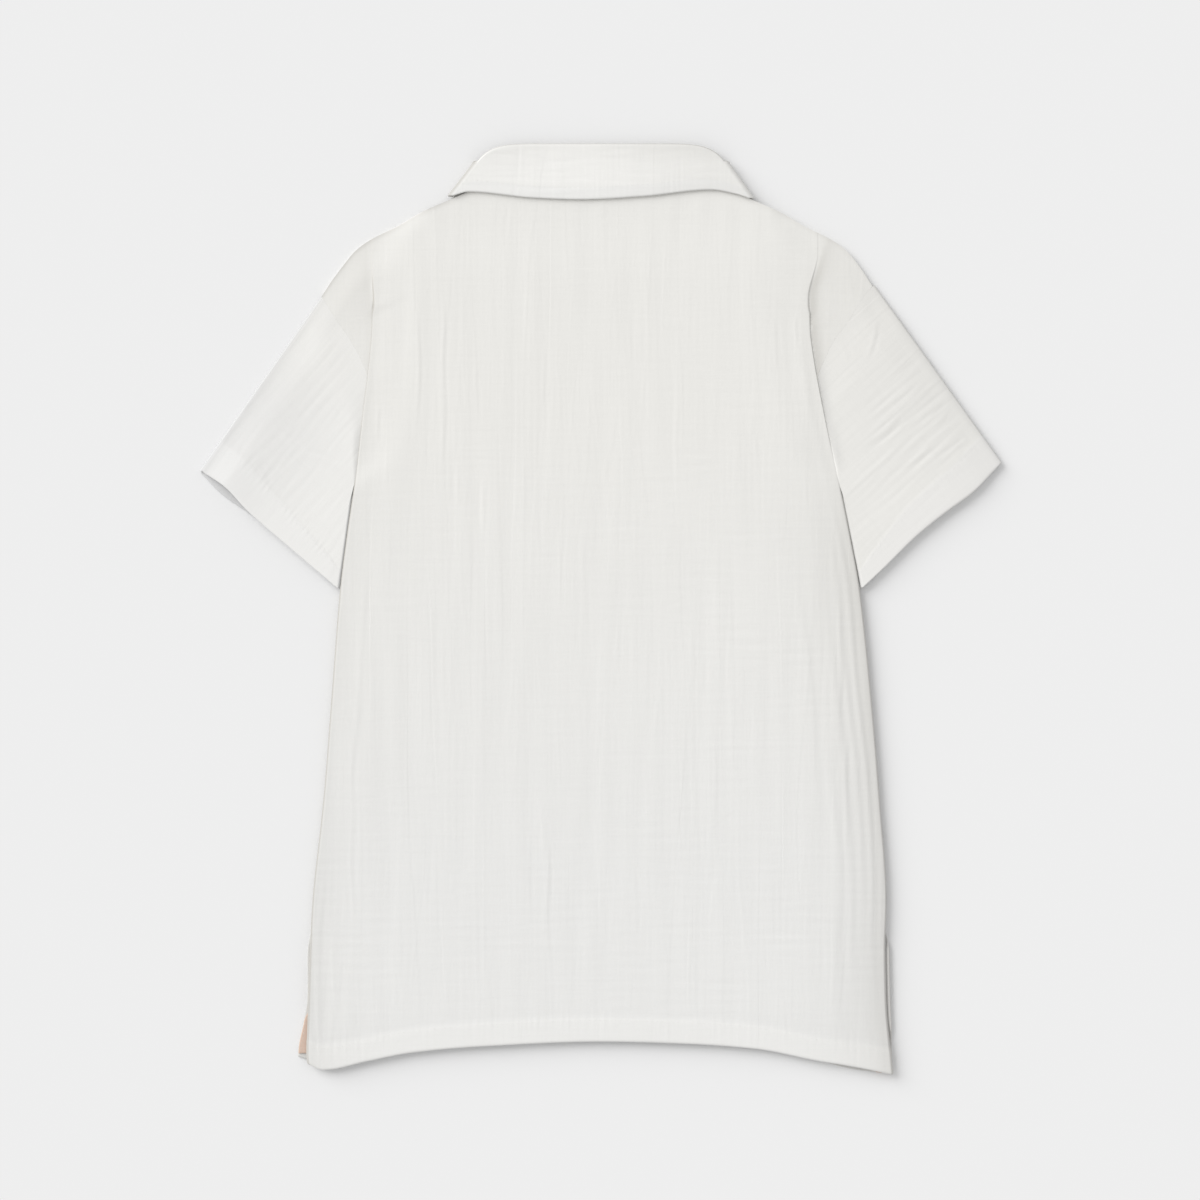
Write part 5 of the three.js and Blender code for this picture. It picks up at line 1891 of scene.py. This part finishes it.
@dataclass
class Studio:
    """The pale floor, the soft light from the upper left and the camera over the shirt."""

    camera_height: float = 2.0
    lens: float = 100.0
    sensor: float = 36.0
    sight: float = 100.0
    centre: tuple[float, float] = (-0.0006, 0.0057)
    sun_elevation: float = 29.0
    sun_towards: tuple[float, float] = (0.8, -0.6)
    sun_strength: float = 2.42
    sun_angle: float = 44.0
    sky: float = 0.70
    floor_half: float = 8.0
    floor_drop: float = 0.00015

    def build(self, fibre: Tree) -> None:
        """Adds the floor, the lights and the camera."""
        half = self.floor_half
        corners = [(-half, -half, 0), (half, -half, 0), (half, half, 0), (-half, half, 0)]
        mesh = bpy.data.meshes.new("floor")
        mesh.from_pydata(corners, [], [(0, 1, 2, 3)])
        floor = bpy.data.objects.new("floor", mesh)
        bpy.context.scene.collection.objects.link(floor)
        floor.location.z = -self.floor_drop
        mesh.materials.append(FloorFinish().make(fibre))
        self.add_sun()
        self.add_sky()
        self.add_camera()

    def add_sun(self) -> None:
        """Adds the soft key light."""
        light = bpy.data.lights.new("key", "SUN")
        light.energy = self.sun_strength
        light.angle = math.radians(self.sun_angle)
        sun = bpy.data.objects.new("key", light)
        rise = math.radians(self.sun_elevation)
        way = Vector((*(part * math.cos(rise) for part in self.sun_towards), -math.sin(rise)))
        sun.rotation_mode = "QUATERNION"
        sun.rotation_quaternion = way.to_track_quat("-Z", "Y")
        bpy.context.scene.collection.objects.link(sun)

    def add_sky(self) -> None:
        """Adds the even light of the room."""
        world = bpy.data.worlds.new("room")
        world.use_nodes = True
        background = world.node_tree.nodes["Background"]
        background.inputs["Color"].default_value = (1, 1, 1, 1)
        background.inputs["Strength"].default_value = self.sky
        bpy.context.scene.world = world

    def add_camera(self) -> None:
        """Adds the camera straight above the shirt."""
        camera = bpy.data.cameras.new("camera")
        camera.lens = self.lens
        camera.sensor_width = self.sensor
        camera.clip_end = self.sight
        made = bpy.data.objects.new("camera", camera)
        made.location = (*self.centre, self.camera_height)
        bpy.context.scene.collection.objects.link(made)
        bpy.context.scene.camera = made
        bpy.context.scene.view_settings.view_transform = "Standard"


@dataclass(frozen=True)
class SheetCut:
    """A cloth piece as it was cut: its bounding width and length and its area, in metres."""

    width: float
    length: float
    area: float
    rests_on: tuple[str, ...]


def dress(piece: Piece, material: Material, slot: str, *nodes: str) -> None:
    """Gives a piece its material and its body, hides the CAD nodes that it stands for, and logs its faces."""
    piece.data.materials.clear()
    piece.data.materials.append(material)
    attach(piece, BODY)
    if nodes:
        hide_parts(*nodes)
    log.info("%s: %d faces", piece.name, len(piece.data.polygons))


def declare(piece: Piece, cut: SheetCut) -> None:
    """Logs a piece's cloth area, half its surface, beside the area of the sheet it was cut from."""
    half_area = sum(polygon.area for polygon in piece.data.polygons) / 2
    log.info("%s: cloth %.4f m2, cut %.4f m2", piece.name, half_area, cut.area)


SHEET_CUTS = {
    "back_panel": SheetCut(0.40, 0.57, 0.19, ("front_panel",)),
    "front_panel": SheetCut(0.40, 0.55, 0.18, ("floor",)),
    "sleeve_left_cloth": SheetCut(0.23, 0.13, 0.0245, ("floor",)),
    "sleeve_right_cloth": SheetCut(0.23, 0.13, 0.0265, ("floor",)),
    "collar_cloth": SheetCut(0.40, 0.09, 0.0255, ("back_panel",)),
    "placket_top_band": SheetCut(0.032, 0.138, 0.0042, ("button_1_resin", "button_2_resin", "button_3_resin")),
    "placket_under_band": SheetCut(0.032, 0.138, 0.0042, ("placket_top_band",)),
    "vent_tape_left": SheetCut(0.01, 0.064, 0.0006, ("front_panel",)),
    "vent_tape_right": SheetCut(0.01, 0.064, 0.0006, ("front_panel",)),
}


def tape_edge(pattern: Pattern, side: Side, inset: float) -> Curve:
    """An edge of a vent's tape, some way inside its outer one.

    The outer one lies just inside the front's edge where it shows, and else under the back's.
    """

    def edge(y: Array) -> Array:
        """X of the edge."""
        shown = smooth((-238 - y) / 8) if side is Side.LEFT else 0 * y
        outside = mix(pattern.back_edge[side](y) - 0.8, pattern.front_edge[side](y) - 0.4, shown)
        return side.value * (outside - inset)

    return edge


def make_bands(pattern: Pattern, gauze: Gauze) -> dict[str, tuple[Band, Piece]]:
    """Makes the placket's two bands and the tapes of the vents, by the nodes that they stand for."""
    half = PLACKET_WIDTH / 2
    bands = {}

    def constant(value: float) -> Curve:
        """A curve with one value."""
        return lambda y: value + 0 * y

    for key, level in (("top", COLLAR_LIFT), ("under", COLLAR_LIFT + PLACKET_WALL + SEAM_GAP)):
        name = f"placket_{key}_band"
        middle = level + PLACKET_WALL / 2
        bands[f"placket_{key}"] = Band(name, constant(-half), constant(half), PLACKET_BOTTOM, PLACKET_TOP, middle)
    for side in Side:
        edges = [tape_edge(pattern, side, inset) for inset in (0, FACING_WIDTH)]
        low, high = edges if side is Side.LEFT else edges[::-1]
        name = f"vent_tape_{side.word}"
        level = WALL + SEAM_GAP + 0.5
        tape = Band(name, low, high, FACING_BOTTOM, FACING_TOP, level, rows=50, columns=10, crinkle=0.2)
        tape.lower_edge = None if side is Side.LEFT else lambda x: pattern.front_hem(x) + 0.25
        bands[f"vent_facing_{side.word}"] = tape
    return {node: (band, band.build(gauze)) for node, band in bands.items()}


def main() -> None:
    """Builds the shirt piece by piece, then the studio round it."""
    pattern = Pattern()
    gauze = Gauze()
    weave, fibre = weave_group(), fibre_group()
    body = ClothFinish("gauze_body", (0.768, 0.759, 0.73), (0.755, 0.752, 0.737), (0.782, 0.778, 0.76))
    # Each finish's seam colour is the tint of its painted shade.
    sleeve_finishes = {
        Side.LEFT: replace(
            body,
            upper=(0.78, 0.77, 0.741),
            lower=(0.8, 0.793, 0.77),
            doubled=(0.8, 0.794, 0.775),
            seam=(0.61, 0.618, 0.65),
        ),
        Side.RIGHT: replace(
            body,
            upper=(0.775, 0.764, 0.733),
            lower=(0.797, 0.788, 0.757),
            doubled=(0.8, 0.791, 0.768),
            seam=(0.61, 0.61, 0.62),
        ),
    }
    band_finish = replace(body, name="gauze_placket")
    peach = (0.62, 0.473, 0.388)
    tape = ClothFinish("peach_tape", peach, peach, peach, pitch=0.5, crinkle=0.0)
    sewing = ThreadFinish("white_thread", (0.8, 0.795, 0.77)).make(fibre)
    cloth = body.make(weave, fibre)
    band_cloth = band_finish.make(weave, fibre)

    back = BackPanel(pattern, gauze).build()
    dress(back, cloth, "gauze", "back")
    front = FrontPanel(pattern, gauze).build()
    dress(front, cloth, "gauze", "front")
    stitches = Stitching("hem_stitches")
    stitches.sew(back, hem_line(pattern.back_hem, -171, 170))
    stitches.sew(front, hem_line(pattern.front_hem, -176, 166), True)
    sheets = [back, front]
    for side in Side:
        sleeve = Sleeve(pattern, gauze, side)
        made = sleeve.build()
        grain = math.atan2(sleeve.cuff_out[1], sleeve.cuff_out[0] * side.value)
        finish = replace(sleeve_finishes[side], name=f"gauze_sleeve_{side.word}", span=(0.105, 0.19), turn=-grain)
        dress(made, finish.make(weave, fibre), "gauze", f"sleeve_{side.word}")
        stitches.sew(made, sleeve.cuff_line())
        stitches.sew(made, sleeve.cuff_line(), True)
        sheets.append(made)
    collar_cut = Collar(pattern, gauze)
    collar = collar_cut.build()
    # The collar's painted shade tint is darker, to dim its ends that face the light.
    collar_finish = replace(body, name="gauze_collar", upper=(0.803, 0.796, 0.772), seam=(0.5, 0.49, 0.47))
    dress(collar, collar_finish.make(weave, fibre), "gauze", "collar")
    stitches.sew(collar, collar_cut.sewn_line())
    sheets.append(collar)
    tape_cloth = tape.make(weave, fibre)
    for node, (band, made) in make_bands(pattern, gauze).items():
        is_tape = node.startswith("vent")
        dress(made, tape_cloth if is_tape else band_cloth, "facing_tape" if is_tape else "gauze", node)
        for line in band.line(1.4):
            stitches.sew(made, line, node == "placket_top")
        sheets.append(made)
    resin = ButtonFinish().make(fibre)
    threads = ThreadRuns("button_threads")
    for k, y in enumerate(BUTTON_YS):
        button = Button(f"button_{k + 1}_resin", y)
        dress(button.build(), resin, "button", f"button_{k + 1}")
        button.thread(threads)
        threads.buttonhole(y, COLLAR_LIFT + 0.02)
    dress(threads.build(), sewing, "gauze")
    dress(stitches.build(), sewing, "gauze")
    for sheet in sheets:
        declare(sheet, SHEET_CUTS[sheet.name])
    Studio().build(fibre)


if __name__ == "__main__":
    main()
